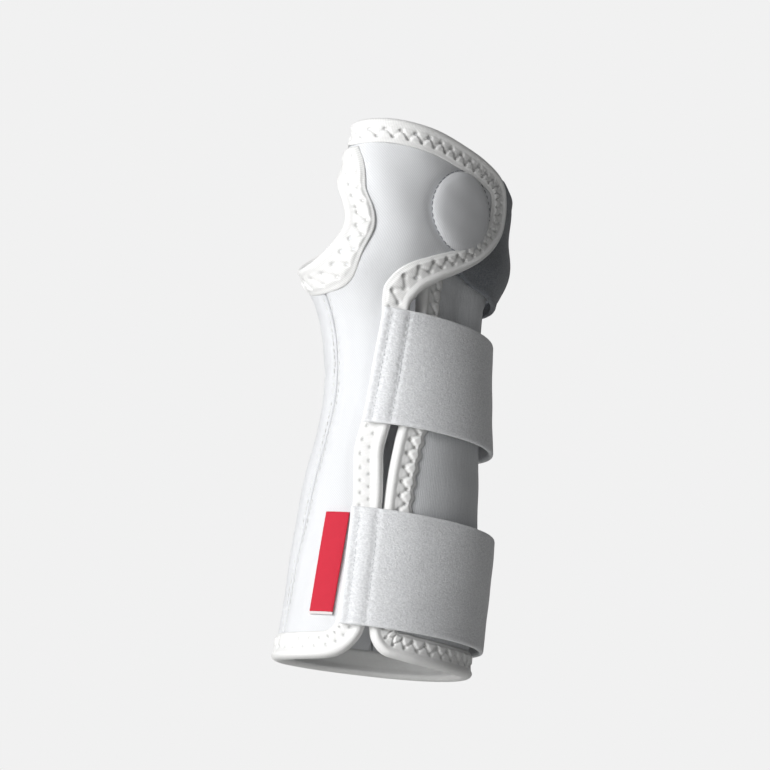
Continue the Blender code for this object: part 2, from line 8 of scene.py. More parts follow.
import bpy
import numpy as np
from mathutils import Matrix, Vector
from mathutils.geometry import delaunay_2d_cdt
from mathutils.kdtree import KDTree


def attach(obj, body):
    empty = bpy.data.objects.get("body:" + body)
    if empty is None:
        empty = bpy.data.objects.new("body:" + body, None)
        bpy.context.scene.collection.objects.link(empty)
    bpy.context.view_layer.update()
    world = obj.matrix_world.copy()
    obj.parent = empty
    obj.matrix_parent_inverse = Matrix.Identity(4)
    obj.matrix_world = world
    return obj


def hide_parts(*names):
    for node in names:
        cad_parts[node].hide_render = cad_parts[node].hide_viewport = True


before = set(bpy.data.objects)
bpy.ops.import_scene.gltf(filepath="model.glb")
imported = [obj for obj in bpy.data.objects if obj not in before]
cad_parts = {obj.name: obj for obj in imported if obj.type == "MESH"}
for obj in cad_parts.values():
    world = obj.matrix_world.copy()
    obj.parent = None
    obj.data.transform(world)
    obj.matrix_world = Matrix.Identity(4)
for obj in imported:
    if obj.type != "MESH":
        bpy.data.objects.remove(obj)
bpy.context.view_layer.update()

MM = 0.001

# Sizes shared with the part's source
FOREARM_LENGTH = 92 * MM
HAND_LENGTH = 86 * MM
FOREARM_WIDTH = 65 * MM
FOREARM_DEPTH = 53.2 * MM
WRIST_WIDTH = 54 * MM
WRIST_DEPTH = 41.2 * MM
PALM_WIDTH = 76 * MM
PALM_DEPTH = 35.7 * MM
THENAR_BULGE = 2.4 * MM
WEB_PULL = 7.5 * MM
WEB_TURN = -130
PANEL = 2.6 * MM
TAPE = 0.8 * MM
STRAP = 1.8 * MM
TAB = 1.8 * MM
HOOK = 1.2 * MM
LABEL = 0.6 * MM
TAPE_BAND = 8.6 * MM
TAPE_ROLL = 1.7 * MM
STRAP_WIDTH = 38 * MM
THUMB_HOLE_WIDTH = 32 * MM
THUMB_HOLE_HEIGHT = 38 * MM
STRAP_HOOK_LENGTH = 28 * MM
LABEL_WIDTH = 7.3 * MM
LABEL_LENGTH = 33.4 * MM
LABEL_SHARE = 0.075
LAYER_GAP = 0.35 * MM
TAPE_FIT = 0.6 * MM
SEAM_GAP = 0.35 * MM
MITRE_GAP = 0.6 * MM
EDGE_FIT = 0.2 * MM
STRAP_BELOW_FLAP = 1.8 * MM
STRAP_ABOVE_HEM = 11 * MM
STRAP_STAND_OFF = 2 * MM
HOOK_MARGIN = 2 * MM
SINK = 3.4 * MM
THUMB_HOLE_MIDDLE = 0.634 * HAND_LENGTH
THUMB_HOLE_BEHIND_SIDE = 15.2 * MM
THUMB_HOLE_LEAN = 0.4
WEB_SEAM_TURN = -128
PALM_SEAM_TURN = -222
TAB_SEAM_TURN = 137
ULNAR_SEAM_TURN = 137
ULNAR_TOP = 0.49 * HAND_LENGTH
STRAP_END_TURN = 157.5
STRAP_LEAN = 1.8

# Sizes of what only the looks have
DISC_TURN = -11.2
DISC_HEIGHT = 0.7 * HAND_LENGTH
DISC_WIDTH = 24.8 * MM
DISC_LENGTH = 28.6 * MM
DISC_PUFF = 1.3 * MM
FLAP_HOOK_DIAMETER = 20 * MM
FLAP_PITCH = 4.3 * MM
RIM_PITCH = 3.9 * MM
SLIT_PITCH = 4.9 * MM
ROW_LOW = 4.0 * MM
PIT_DEPTH = 0.85 * MM
ROW_HIGH = 6.5 * MM
THREAD = 0.34 * MM
STITCH_PITCH = 2.6 * MM
STITCH_LENGTH = 2.0 * MM

# Edge tables: (turn in degrees, height as a share of the forearm's or the hand's length)
THUMB_HEM = ((-117, -1.003), (-104, -1.005), (-86, -1.003), (-72, -0.995), (-63, -0.975), (-56, -0.935), (-52, -0.88))
THUMB_SLIT = ((-51.2, -0.8), (-50.4, -0.6), (-50.2, -0.435), (-52, -0.326), (-53.6, -0.245), (-51, -0.152),
              (-44, 0.05), (-38, 0.2), (-36, 0.29))
FLAP_LOWER = ((-32, 0.325), (-26, 0.36), (-17, 0.4), (-4, 0.46), (6, 0.53), (16, 0.627))
FLAP_END = ((20.5, 0.69), (21.5, 0.765), (20.5, 0.825), (17.5, 0.88), (11.5, 0.918))
FLAP_TOP = ((-2, 0.95), (-16, 0.97), (-30, 0.988), (-42, 0.995), (-60, 1), (-84, 0.995), (-100, 0.993),
            (WEB_SEAM_TURN, 0.985))
PALM_TOP = ((WEB_SEAM_TURN, 0.985), (-150, 0.978), (-180, 0.955), (-205, 0.92), (PALM_SEAM_TURN, 0.89))
SLEEVE_HEM = ((-117, -1.003), (-150, -0.995), (-180, -0.985), (-220, -0.975), (-270, -0.972), (-318, -0.975),
              (-350, -0.982), (-377, -0.98), (-388, -0.975), (-399, -0.965), (-406, -0.93), (-409.2, -0.88))
ULNAR_SLIT = ((-409.2, -0.8), (-409.1, -0.6), (-409, -0.435), (-408, -0.288), (-405, -0.147), (-396, 0.06),
              (-387, 0.26), (-382, 0.36), (-376, 0.46), (-374, 0.483))
THUMB_SEAM = ((-117, -1.003), (-116, -0.87), (-112, -0.652), (-106, -0.43), (-103.5, -0.16), (-101, 0.05),
              (-100, 0.25), (-100, 0.5))
TAB_EDGE = ((-30, 0.57), (-14, 0.53), (0, 0.485), (14, 0.45), (34, 0.425), (60, 0.42), (100, 0.42),
            (TAB_SEAM_TURN, 0.425), (TAB_SEAM_TURN, 0.885), (100, 0.885), (60, 0.907), (42, 0.925), (32, 0.945),
            (22, 0.945), (5, 0.925), (-20, 0.93), (-31, 0.91), (-35, 0.87), (-35, 0.61))

# The arm form: (height, width, depth, side shift, palm shift) of its elliptical sections
ARM = np.array((
    (-1.043 * FOREARM_LENGTH, FOREARM_WIDTH, FOREARM_DEPTH, 0, 0),
    (-0.40 * FOREARM_LENGTH, 0.923 * FOREARM_WIDTH, 0.925 * FOREARM_DEPTH, 0, 0),
    (0, WRIST_WIDTH, WRIST_DEPTH, 0, 0),
    (0.30 * HAND_LENGTH, 1.11 * WRIST_WIDTH, 1.015 * WRIST_DEPTH, -0.065 * WRIST_WIDTH, 0.033 * WRIST_WIDTH),
    (0.44 * HAND_LENGTH, 0.908 * PALM_WIDTH, 1.23 * PALM_DEPTH, -0.079 * PALM_WIDTH, 0.038 * PALM_WIDTH),
    (0.58 * HAND_LENGTH, 0.96 * PALM_WIDTH, 1.12 * PALM_DEPTH, -0.037 * PALM_WIDTH, 0.005 * PALM_WIDTH),
    (0.75 * HAND_LENGTH, PALM_WIDTH, PALM_DEPTH, 0, 0),
    (1.12 * HAND_LENGTH, PALM_WIDTH, 0.98 * PALM_DEPTH, 0, 0),
))
ARM_SLOPES = np.gradient(ARM, ARM[:, 0], axis=0)


def smooth(value, start, end):
    share = np.clip((value - start) / (end - start), 0, 1)
    return share * share * (3 - 2 * share)


def bell(value, width):
    return np.exp(-(value / width) ** 2)


def height(share):
    return share * (HAND_LENGTH if share > 0 else FOREARM_LENGTH)


def nearest_turn(turn):
    return (turn + 180) % 360 - 180


# The arm form
def section(z):
    """Half width, half depth and centre of the arm form at heights z."""
    z = np.asarray(z, float)
    row = np.clip(np.searchsorted(ARM[:, 0], z) - 1, 0, len(ARM) - 2)
    span = (ARM[row + 1, 0] - ARM[row, 0])[..., None]
    t = np.clip((z - ARM[row, 0])[..., None] / span, 0, 1)
    start = (2 * t**3 - 3 * t**2 + 1) * ARM[row] + (t**3 - 2 * t**2 + t) * span * ARM_SLOPES[row]
    end = (3 * t**2 - 2 * t**3) * ARM[row + 1] + (t**3 - t**2) * span * ARM_SLOPES[row + 1]
    both = start + end
    return both[..., 1] / 2, both[..., 2] / 2, both[..., 3], both[..., 4]


def thenar(turn, z):
    """The swelling at the base of the thumb, less the pull where the cloth turns in between thumb and finger."""
    around = (nearest_turn(turn) + 105) / 34
    along = (z - 0.42 * HAND_LENGTH) / (0.15 * HAND_LENGTH)
    web = 0.4 * smooth(z, 0.62 * HAND_LENGTH, 0.8 * HAND_LENGTH) + 0.6 * smooth(z, 0.84 * HAND_LENGTH, 1.04 * HAND_LENGTH)
    web = web * np.cos(np.radians(turn - WEB_TURN) / 2) ** 20
    return THENAR_BULGE * np.exp(-around**2 - along**2) - WEB_PULL * web


def form(turn, z, rise):
    """Points at a rise above the arm form."""
    turn, z, rise = np.broadcast_arrays(np.asarray(turn, float), np.asarray(z, float), np.asarray(rise, float))
    half_width, half_depth, side, palm = section(z)
    sine = np.sin(np.radians(turn))
    cosine = np.cos(np.radians(turn))
    east = sine / half_width
    south = -cosine / half_depth
    size = np.hypot(east, south)
    lift = rise + thenar(turn, z)
    x = side + half_width * sine + lift * east / size
    y = palm - half_depth * cosine + lift * south / size
    return np.stack((x, y, z), axis=-1)


def outward(turn, z):
    """Directions away from the arm form."""
    away = form(turn, z, 1 * MM) - form(turn, z, 0)
    return away / np.linalg.norm(away, axis=-1, keepdims=True)


def reach_per_degree(turn, z):
    half_width, half_depth, _, _ = section(z)
    angle = np.radians(turn)
    return np.radians(np.hypot(half_width * np.cos(angle), half_depth * np.sin(angle)))


def shifted(turn, z, around, along):
    """Pattern points moved by two lengths on the form."""
    middle = turn
    for _ in range(3):
        moved = turn + around / reach_per_degree(middle, z + along / 2)
        middle = (turn + moved) / 2
    return moved, z + along


# Length run round the form, for every turn and height
ARC_TURNS = np.arange(-440.0, 201.0, 2.0)
ARC_HEIGHTS = np.linspace(-1.12 * FOREARM_LENGTH, 1.12 * HAND_LENGTH, 120)
ARC_STEPS = reach_per_degree(ARC_TURNS[None, :-1] + 1, ARC_HEIGHTS[:, None]) * 2
ARC = np.concatenate((np.zeros((len(ARC_HEIGHTS), 1)), np.cumsum(ARC_STEPS, axis=1)), axis=1)
ARC -= ARC[:, [int(np.searchsorted(ARC_TURNS, 0))]]


def arc_row(z):
    place = np.interp(z, ARC_HEIGHTS, np.arange(len(ARC_HEIGHTS)))
    low = min(int(place), len(ARC_HEIGHTS) - 2)
    return ARC[low] + (place - low) * (ARC[low + 1] - ARC[low])


def arc_length(turn, z):
    """Lengths round the form from the line along the back of the hand."""
    places = np.interp(z, ARC_HEIGHTS, np.arange(len(ARC_HEIGHTS)))
    low = np.minimum(places.astype(int), len(ARC_HEIGHTS) - 2)
    columns = np.interp(turn, ARC_TURNS, np.arange(len(ARC_TURNS)))
    left = np.minimum(columns.astype(int), len(ARC_TURNS) - 2)
    up = places - low
    right = columns - left
    lower = ARC[low, left] * (1 - right) + ARC[low, left + 1] * right
    upper = ARC[low + 1, left] * (1 - right) + ARC[low + 1, left + 1] * right
    return lower * (1 - up) + upper * up


def turn_at(length, z):
    """Turns at which a length round the form is reached, at heights z."""
    lengths_flat, heights_flat = np.broadcast_arrays(length, z)
    found = [np.interp(a, arc_row(b), ARC_TURNS) for a, b in zip(lengths_flat.ravel(), heights_flat.ravel())]
    return np.reshape(found, lengths_flat.shape)


# Rises of the layers above the form
def sink(turn, z):
    return SINK * smooth(z, 0.093 * HAND_LENGTH, 0.326 * HAND_LENGTH) * (1 - smooth(nearest_turn(turn), 10, 33))


def base_rise(turn, z):
    return 0 * turn


def sleeve_rise(turn, z):
    return -sink(turn, z)


def tab_rise(turn, z):
    under = PANEL + TAPE_FIT + TAPE + LAYER_GAP - SINK * (1 - smooth(nearest_turn(turn), 10, 33))
    far = 0.674 + 0.13 * smooth(nearest_turn(turn), 20, 45)
    return LAYER_GAP + under * (1 - smooth(z, 0.51 * HAND_LENGTH, far * HAND_LENGTH))


def flap_hook_rise(turn, z):
    return tab_rise(turn, z) + TAB + LAYER_GAP


def flap_rise(turn, z):
    full = flap_hook_rise(turn, z) + HOOK + LAYER_GAP
    return full * smooth(nearest_turn(turn), -88, -36) * smooth(z, 0.24 * HAND_LENGTH, 0.5 * HAND_LENGTH)


def strap_hook_rise(turn, z):
    return PANEL + LAYER_GAP + 0 * turn


def strap_rise(turn, z):
    """The straps stand off a little at the side of the little finger, most at the lower strap's top."""
    level = PANEL + LAYER_GAP + max(HOOK, TAPE_FIT + TAPE) + LAYER_GAP
    share = smooth(z, -0.88 * FOREARM_LENGTH, -0.46 * FOREARM_LENGTH) * (1 - smooth(z, -0.42 * FOREARM_LENGTH, 0))
    side = smooth(turn, -25, 25) * (1 - smooth(turn, 70, 115))
    return level + side * (STRAP_STAND_OFF * (0.35 + 0.65 * share))


# Pattern lines
def dense(table, steps=14):
    """Points along a smooth curve through a table's rows."""
    rows = np.array([(turn, height(share)) for turn, share in table])
    ends = np.vstack((2 * rows[0] - rows[1], rows, 2 * rows[-1] - rows[-2]))
    points = []
    for i in range(1, len(ends) - 2):
        before, start, end, after = ends[i - 1:i + 3]
        for t in np.arange(steps) / steps:
            bend = (2 * start - 2 * end + (end - before) / 2 + (after - start) / 2) * t**3
            bend += (3 * end - 3 * start - (end - before) - (after - start) / 2) * t**2
            points.append(start + (end - before) / 2 * t + bend)
    points.append(rows[-1])
    return np.array(points)


def run_along(points):
    middles = (points[1:] + points[:-1]) / 2
    steps = np.diff(points, axis=0)
    sizes = np.hypot(steps[:, 0] * reach_per_degree(middles[:, 0], middles[:, 1]), steps[:, 1])
    return np.concatenate(((0,), np.cumsum(sizes)))


def resampled(points, step):
    """The same line with its corners kept and points at most a step apart."""
    line = [points[0]]
    for start, end in zip(points[:-1], points[1:]):
        size = run_along(np.array((start, end)))[-1]
        parts = max(1, math.ceil(size / step))
        line += [start + (end - start) * k / parts for k in range(1, parts + 1)]
    return np.array(line)


class Edge:
    """A bound edge at even stations, and at each the direction into the cloth."""

    def __init__(self, tables, side, step):
        points = dense(sum(tables, ()))
        run = run_along(points)
        self.run = np.linspace(0, run[-1], round(run[-1] / step) + 1)
        self.turn = np.interp(self.run, run, points[:, 0])
        self.z = np.interp(self.run, run, points[:, 1])
        window = np.clip(np.minimum(self.run, run[-1] - self.run), 0.4 * MM, 7 * MM)
        ahead = np.minimum(self.run + window, run[-1])
        behind = np.maximum(self.run - window, 0)
        turns = [np.interp(where, run, points[:, 0]) for where in (ahead, behind)]
        heights = [np.interp(where, run, points[:, 1]) for where in (ahead, behind)]
        east = (turns[0] - turns[1]) * reach_per_degree(sum(turns) / 2, sum(heights) / 2)
        north = heights[0] - heights[1]
        size = np.hypot(east, north)
        self.across = -side * north / size
        self.up = side * east / size

    def place(self, inset):
        return shifted(self.turn, self.z, inset * self.across, inset * self.up)

    def raw(self):
        """The cut edge of the cloth inside the folded tape."""
        return np.stack(self.place(TAPE_ROLL + EDGE_FIT), axis=-1)


def thumb_rim(angle, inset):
    """Points round the thumb hole, at a distance into the cloth from its finished rim."""
    rise = (THUMB_HOLE_HEIGHT / 2 + inset) * np.sin(angle)
    spread = (THUMB_HOLE_WIDTH / 2 + inset) * np.cos(angle)
    z = THUMB_HOLE_MIDDLE + rise
    reach = THUMB_HOLE_BEHIND_SIDE - spread + THUMB_HOLE_LEAN * rise
    return turn_at(arc_length(-90 + 0 * z, z) - reach, z), z


def rim_angle(turn, start):
    """The angle near a start angle at which the cut rim meets a turn."""
    angles = np.linspace(start - 1, start + 1, 401)
    turns, _ = thumb_rim(angles, TAPE_ROLL + EDGE_FIT)
    return angles[np.argmin(abs(turns - turn))]


class Rim:
    """The thumb hole's rim, with the same calls as an edge."""

    def __init__(self, step):
        around = np.linspace(0, 2 * math.pi, 400)
        points = np.stack(thumb_rim(around, 0), axis=-1)
        run = run_along(points)
        count = 4 * round(run[-1] / step / 4)
        self.run = np.linspace(0, run[-1], count + 1)[:-1]
        self.length = run[-1]
        self.angle = np.interp(self.run, run, around)
        self.turn, self.z = self.place(0 * self.angle)

    def place(self, inset):
        return thumb_rim(self.angle, inset)


# Meshes
def add_object(name, points, faces, materials, uv=None, rim=None, pit=None):
    mesh = bpy.data.meshes.new(name)
    mesh.from_pydata(points.tolist(), [], faces)
    for material in materials:
        mesh.materials.append(material)
    if uv is not None:
        corners = np.zeros(len(mesh.loops), int)
        mesh.loops.foreach_get("vertex_index", corners)
        layer = mesh.uv_layers.new(name="flat")
        layer.data.foreach_set("uv", uv[corners].astype(np.float32).ravel())
    for label, values in (("rim", rim), ("pit", pit)):
        if values is not None:
            attribute = mesh.attributes.new(label, "FLOAT", "POINT")
            attribute.data.foreach_set("value", values.astype(np.float32))
    mesh.polygons.foreach_set("use_smooth", [True] * len(mesh.polygons))
    mesh.update()
    piece = bpy.data.objects.new(name, mesh)
    bpy.context.scene.collection.objects.link(piece)
    return piece


def nearest_distance(points, line, step=0.25 * MM):
    """Distances on the form from pattern points to a pattern line."""
    fine = resampled(line, step)
    tree = KDTree(len(fine))
    for index, place in enumerate(form(fine[:, 0], fine[:, 1], 0)):
        tree.insert(place, index)
    tree.balance()
    return np.array([tree.find(place)[2] for place in form(points[:, 0], points[:, 1], 0)])


FLAT = math.radians(0.5 * WRIST_WIDTH)


def inside(points, outline):
    """Which pattern points lie within a closed outline."""
    x, y = points[:, 0], points[:, 1]
    found = np.zeros(len(points), bool)
    for (x0, y0), (x1, y1) in zip(outline, np.roll(outline, -1, axis=0)):
        if y0 != y1:
            crosses = ((y0 > y) != (y1 > y)) & (x < x0 + (y - y0) * (x1 - x0) / (y1 - y0))
            found ^= crosses
    return found


def flat_mesh(outline, spacing, rings):
    """A dense triangle mesh of a flat pattern, with rings of points that follow its edge."""
    closed = np.vstack((outline, outline[:1]))
    edge = resampled(closed, 0.75 * spacing)[:-1]
    count = len(edge)
    ahead = np.roll(edge, -1, axis=0) - np.roll(edge, 1, axis=0)
    ahead[:, 0] *= reach_per_degree(edge[:, 0], edge[:, 1])
    ahead /= np.hypot(ahead[:, 0], ahead[:, 1])[:, None]
    area = np.sum(edge[:, 0] * np.roll(edge[:, 1], -1) - np.roll(edge[:, 0], -1) * edge[:, 1])
    side = 1 if area > 0 else -1
    points = [edge]
    for inset in rings:
        moved = shifted(edge[:, 0], edge[:, 1], -side * inset * ahead[:, 1], side * inset * ahead[:, 0])
        points.append(np.stack(moved, axis=-1))
    low = outline.min(axis=0)
    high = outline.max(axis=0)
    columns = np.arange(low[0], high[0], spacing / FLAT)
    rows = np.arange(low[1], high[1], spacing * 0.87)
    grid = [(turn + (k % 2) * spacing / FLAT / 2, z) for k, z in enumerate(rows) for turn in columns]
    points.append(np.array(grid))
    kept = [edge]
    for part, group in enumerate(points[1:], 1):
        group = group[inside(group, edge)]
        away = nearest_distance(group, closed)
        least = 0.85 * rings[part - 1] if part <= len(rings) else rings[-1] + 0.6 * spacing
        kept.append(group[away > least])
    everything = np.vstack(kept)
    places = [Vector((turn * FLAT, z)) for turn, z in everything]
    ring = [list(range(count))]
    result = delaunay_2d_cdt(places, [], ring, 1, 1e-7)
    points = np.array([(place.x / FLAT, place.y) for place in result[0]])
    faces = [list(face) for face in result[2]]
    return points, faces


def rim_vertices(faces):
    """Vertices on the mesh's open edge."""
    used = {}
    for face in faces:
        for a, b in zip(face, face[1:] + face[:1]):
            key = (min(a, b), max(a, b))
            used[key] = used.get(key, 0) + 1
    return sorted({index for key, times in used.items() if times == 1 for index in key})


def turned_out(points, faces):
    """The faces wound so that they look away from the arm."""
    a, b, c = (points[[face[k] for face in faces]] for k in range(3))
    normals = np.cross(b - a, c - a)
    middle = (a + b + c) / 3
    _, _, side, palm = section(middle[:, 2])
    away = np.stack((middle[:, 0] - side, middle[:, 1] - palm), axis=-1)
    flipped = (normals[:, 0] * away[:, 0] + normals[:, 1] * away[:, 1]) < 0
    return [face[::-1] if flip else face for face, flip in zip(faces, flipped)]


def cloth(name, outline, rise, wall, round_edge, relief, materials, spacing=1.3 * MM):
    """A closed cloth piece with round edges; relief gives its outer side's height from pattern points and rim."""
    rings = [share * round_edge for share in (0.12, 0.4, 1)]
    points, faces = flat_mesh(outline, spacing, rings)
    closed = np.vstack((outline, outline[:1]))
    away = nearest_distance(points, closed)
    border = rim_vertices(faces)
    away[border] = 0
    share = np.clip(away / round_edge, 0, 1)
    half = wall / 2 * np.sqrt(1 - (1 - share) ** 2)
    level = rise(points[:, 0], points[:, 1]) + wall / 2
    lift = relief(points, away) * smooth(away, 0, 1.2 * MM)
    top = form(points[:, 0], points[:, 1], level + half + lift)
    faces = turned_out(top, faces)
    inner = np.ones(len(points), bool)
    inner[border] = False
    lower = np.arange(len(points))
    lower[inner] = len(points) + np.arange(inner.sum())
    bottom = form(points[inner, 0], points[inner, 1], (level - half)[inner])
    under = [[int(lower[index]) for index in face[::-1]] for face in faces]
    uv_top = np.stack((arc_length(points[:, 0], points[:, 1]), points[:, 1]), axis=-1) / MM
    uv = np.vstack((uv_top, uv_top[inner]))
    rim = np.concatenate((away, away[inner])) / MM
    return add_object(name, np.vstack((top, bottom)), faces + under, materials, uv, rim)


def tape_pits(inset, run, band, strength, pitch):
    """How deep a tape is pulled in round its needle holes, from 0 to 1, in two staggered rows."""
    phase = (run / pitch) % 1
    to_low = np.hypot(inset - ROW_LOW * band / TAPE_BAND, pitch * (phase - np.round(phase)))
    to_high = np.hypot(inset - ROW_HIGH * band / TAPE_BAND, pitch * (phase - 0.5))
    wide = (0.44 + 0.12 * np.minimum(strength, 1)) * MM
    return bell(to_low, wide) + bell(to_high, wide)


def tape_height(inset, run, band, strength, pitch):
    """Height of the folded tape's outer side above the cloth: a bead, needle holes and puffs between them."""
    scale = band / TAPE_BAND
    low = ROW_LOW * scale
    high = ROW_HIGH * scale
    phase = (run / pitch) % 1
    line = low + (high - low) * (1 - abs(2 * phase - 1))
    away = (inset - line) / np.sqrt(1 + (2 * (high - low) / pitch) ** 2)
    room = smooth(inset, 2.9 * MM * scale, 3.6 * MM * scale)
    near = 0.3 * MM * smooth(-away, 0.1 * MM, 0.8 * MM) * room
    far = 0.62 * MM * smooth(away, 0, 0.6 * MM) * (1 - smooth(inset, band - 1.7 * MM, band - 0.7 * MM))
    bead = 0.85 * MM * (1 - smooth(inset, TAPE_ROLL, 4.0 * MM * scale))
    edge = 0.12 * MM + 0.4 * MM * smooth(band - inset, 0, 0.5 * MM)
    pits = PIT_DEPTH * tape_pits(inset, run, band, strength, pitch) * (0.9 + 0.1 * strength)
    return edge + bead + (near + far) * strength - pits


def tape(name, edge, rise, band, strength, pitch, closed=False, swell=0.0):
    """A folded tape swept along an edge; swell is how far its inner edge waves at the puffs."""
    run = edge.run[:, None]
    strength = strength[:, None]
    band = band[:, None] + swell * np.cos(2 * math.pi * run / pitch)
    across = np.linspace(1, 0, 25)[None, :-1]
    outer = TAPE_ROLL + (band - TAPE_ROLL) * across
    arc = np.linspace(90, -90, 11)[None, :]
    bead_inset = TAPE_ROLL * (1 - np.cos(np.radians(arc))) + 0 * band
    bead_half = PANEL / 2 + 1.4 * MM
    inner = TAPE_ROLL + (band - TAPE_ROLL) * np.linspace(0, 1, 8)[None, 1:]
    lining = [band, band * 0.6, 0.9 * TAPE_ROLL + 0 * band, TAPE + 0 * band]
    insets = np.concatenate([outer, bead_inset, inner] + lining + lining[-2::-1], axis=1)
    top = PANEL + tape_height(outer, run, band, strength, pitch)
    bead = PANEL / 2 + bead_half * np.sin(np.radians(arc)) + 0 * band
    bottom = -0.35 * MM - 0.9 * MM * (1 - smooth(inner, TAPE_ROLL, 3.2 * MM))
    bottom += 0.3 * MM * smooth(inner, band - 1.2 * MM, band)
    low = [-0.02 * MM + 0 * band] * 3 + [PANEL / 2 + 0 * band]
    high = [PANEL + 0.02 * MM + 0 * band] * 3
    above = np.concatenate([top, bead, bottom] + low + high, axis=1)
    turns, heights = edge.place(insets) if closed else shifted(
        edge.turn[:, None], edge.z[:, None], insets * edge.across[:, None], insets * edge.up[:, None])
    places = form(turns, heights, rise(turns, heights) + above)
    rows, size = insets.shape
    index = np.arange(rows * size).reshape(rows, size)
    following = np.roll(index, -1, axis=0)
    side = np.roll(index, -1, axis=1)
    corner = np.roll(following, -1, axis=1)
    last = rows if closed else rows - 1
    quads = np.stack((index, side, corner, following), axis=-1)[:last].reshape(-1, 4)
    faces = quads.tolist()
    if not closed:
        faces.append(index[0, ::-1].tolist())
        faces.append(index[-1].tolist())
    uv = np.stack((np.broadcast_to(run, insets.shape), insets), axis=-1).reshape(-1, 2) / MM
    rim = np.minimum(insets, band - insets).reshape(-1) / MM
    # The needle holes' depth, which the tape's material turns into painted shade.
    pit = 0 * insets
    pit[:, :outer.shape[1]] = tape_pits(outer, run, band, strength, pitch)
    points = places.reshape(-1, 3)
    if outside_in(points, faces):
        faces = [face[::-1] for face in faces]
    return add_object(name, points, faces, [WHITE_TAPE], uv, rim, pit.reshape(-1))


def outside_in(points, faces):
    """True when a closed mesh of quads is wound inside out."""
    quads = np.array([face for face in faces if len(face) == 4])
    a, b, c, d = (points[quads[:, k]] for k in range(4))
    middle = points.mean(axis=0)
    volume = np.sum(np.cross(b - a, c - a) * (a - middle)) + np.sum(np.cross(c - a, d - a) * (a - middle))
    return volume < 0


def stitches(name, starts, ends, ways, material, thick=THREAD, bow=0.25):
    """Threads that run from one point to the next and bow out of the cloth between them."""
    shares = np.array((0, 0.18, 0.5, 0.82, 1))
    humps = np.array((-0.9, 0.1, bow, 0.1, -0.9)) * thick
    girths = np.array((0.55, 0.95, 1, 0.95, 0.55)) * thick / 2
    along = ends - starts
    along /= np.linalg.norm(along, axis=1, keepdims=True)
    side = np.cross(along, ways)
    side /= np.linalg.norm(side, axis=1, keepdims=True)
    up = np.cross(side, along)
    angles = np.radians(np.arange(0, 360, 60))
    rings = []
    for share, hump, girth in zip(shares, humps, girths):
        middle = starts + (ends - starts) * share + up * hump
        ring = [middle + girth * (math.cos(angle) * side + math.sin(angle) * up) for angle in angles]
        rings.append(np.stack(ring, axis=1))
    points = np.stack(rings, axis=1)
    count = len(starts)
    index = np.arange(count * 30).reshape(count, 5, 6)
    side_index = np.roll(index, -1, axis=2)
    quads = np.stack((index[:, :-1], side_index[:, :-1], side_index[:, 1:], index[:, 1:]), axis=-1)
    faces = quads.reshape(-1, 4).tolist()
    faces += index[:, 0, ::-1].tolist() + index[:, -1].tolist()
    return add_object(name, points.reshape(-1, 3), faces, [material])


def tape_threads(name, edge, rise, band, strength, pitch):
    """The zigzag thread from needle hole to needle hole, where a tape is puffed."""
    order = np.arange(1, math.floor(edge.run[-1] / pitch * 2))
    holes = order * pitch / 2
    nearest = np.searchsorted(edge.run, holes).clip(0, len(edge.run) - 1)
    rows = np.where(order % 2 == 1, ROW_HIGH, ROW_LOW) * band[nearest] / TAPE_BAND
    insets = ROW_LOW + 0 * edge.run
    insets[nearest] = rows
    turns, heights = (values[nearest] for values in edge.place(insets))
    above = PANEL + tape_height(rows, holes, band[nearest], strength[nearest], pitch) + 0.16 * MM
    places = form(turns, heights, rise(turns, heights) + above)
    ways = outward(turns, heights)
    sewn = strength[nearest][:-1] > 0.3
    return stitches(name, places[:-1][sewn], places[1:][sewn], ways[:-1][sewn], WHITE_THREAD, bow=0.2)


def stitch_row(name, line, rise, above, material, pitch=STITCH_PITCH, size=STITCH_LENGTH, thick=THREAD):
    """Plain stitches along a pattern line."""
    run = run_along(line)
    starts = np.arange(0.4 * MM, run[-1] - size, pitch)
    ends = starts + size
    places = []
    for where in (starts, ends):
        turns = np.interp(where, run, line[:, 0])
        heights = np.interp(where, run, line[:, 1])
        places.append(form(turns, heights, rise(turns, heights) + above))
    turns = np.interp(starts, run, line[:, 0])
    heights = np.interp(starts, run, line[:, 1])
    return stitches(name, places[0], places[1], outward(turns, heights), material, thick)


# Outlines
def seam_line(table, sideways, low, high, step=1 * MM):
    points = dense(table)
    heights = np.linspace(low, high, max(2, round((high - low) / step)))
    turns = np.interp(heights, points[:, 1], points[:, 0])
    return np.stack(shifted(turns, heights, sideways + 0 * heights, 0 * heights), axis=-1)


def straight_seam(turn, sideways, low, high, step=1 * MM):
    heights = np.linspace(low, high, max(2, round((high - low) / step)))
    return np.stack(shifted(turn + 0 * heights, heights, sideways + 0 * heights, 0 * heights), axis=-1)


def rim_run(start, end, step=0.04):
    angles = np.linspace(start, end, max(2, round(abs(end - start) / step)))
    return np.stack(thumb_rim(angles, TAPE_ROLL + EDGE_FIT + 0 * angles), axis=-1)


def half_gap(turn, z):
    return SEAM_GAP / 2 / float(reach_per_degree(turn, z))


def thumb_panel_outline(flap_edge):
    cut = flap_edge.raw()
    web = rim_angle(WEB_SEAM_TURN + 0.3, math.pi / 2)
    low = rim_angle(-99.6, -math.pi / 2)
    rim = rim_run(web, low)
    web_line = straight_seam(WEB_SEAM_TURN, SEAM_GAP / 2, rim[0, 1], cut[-1, 1])
    seam = seam_line(THUMB_SEAM, SEAM_GAP / 2, cut[0, 1], rim[-1, 1])
    return np.vstack((seam[:1], cut[1:-1], web_line[::-1][:-1], rim, seam[::-1][1:-1]))


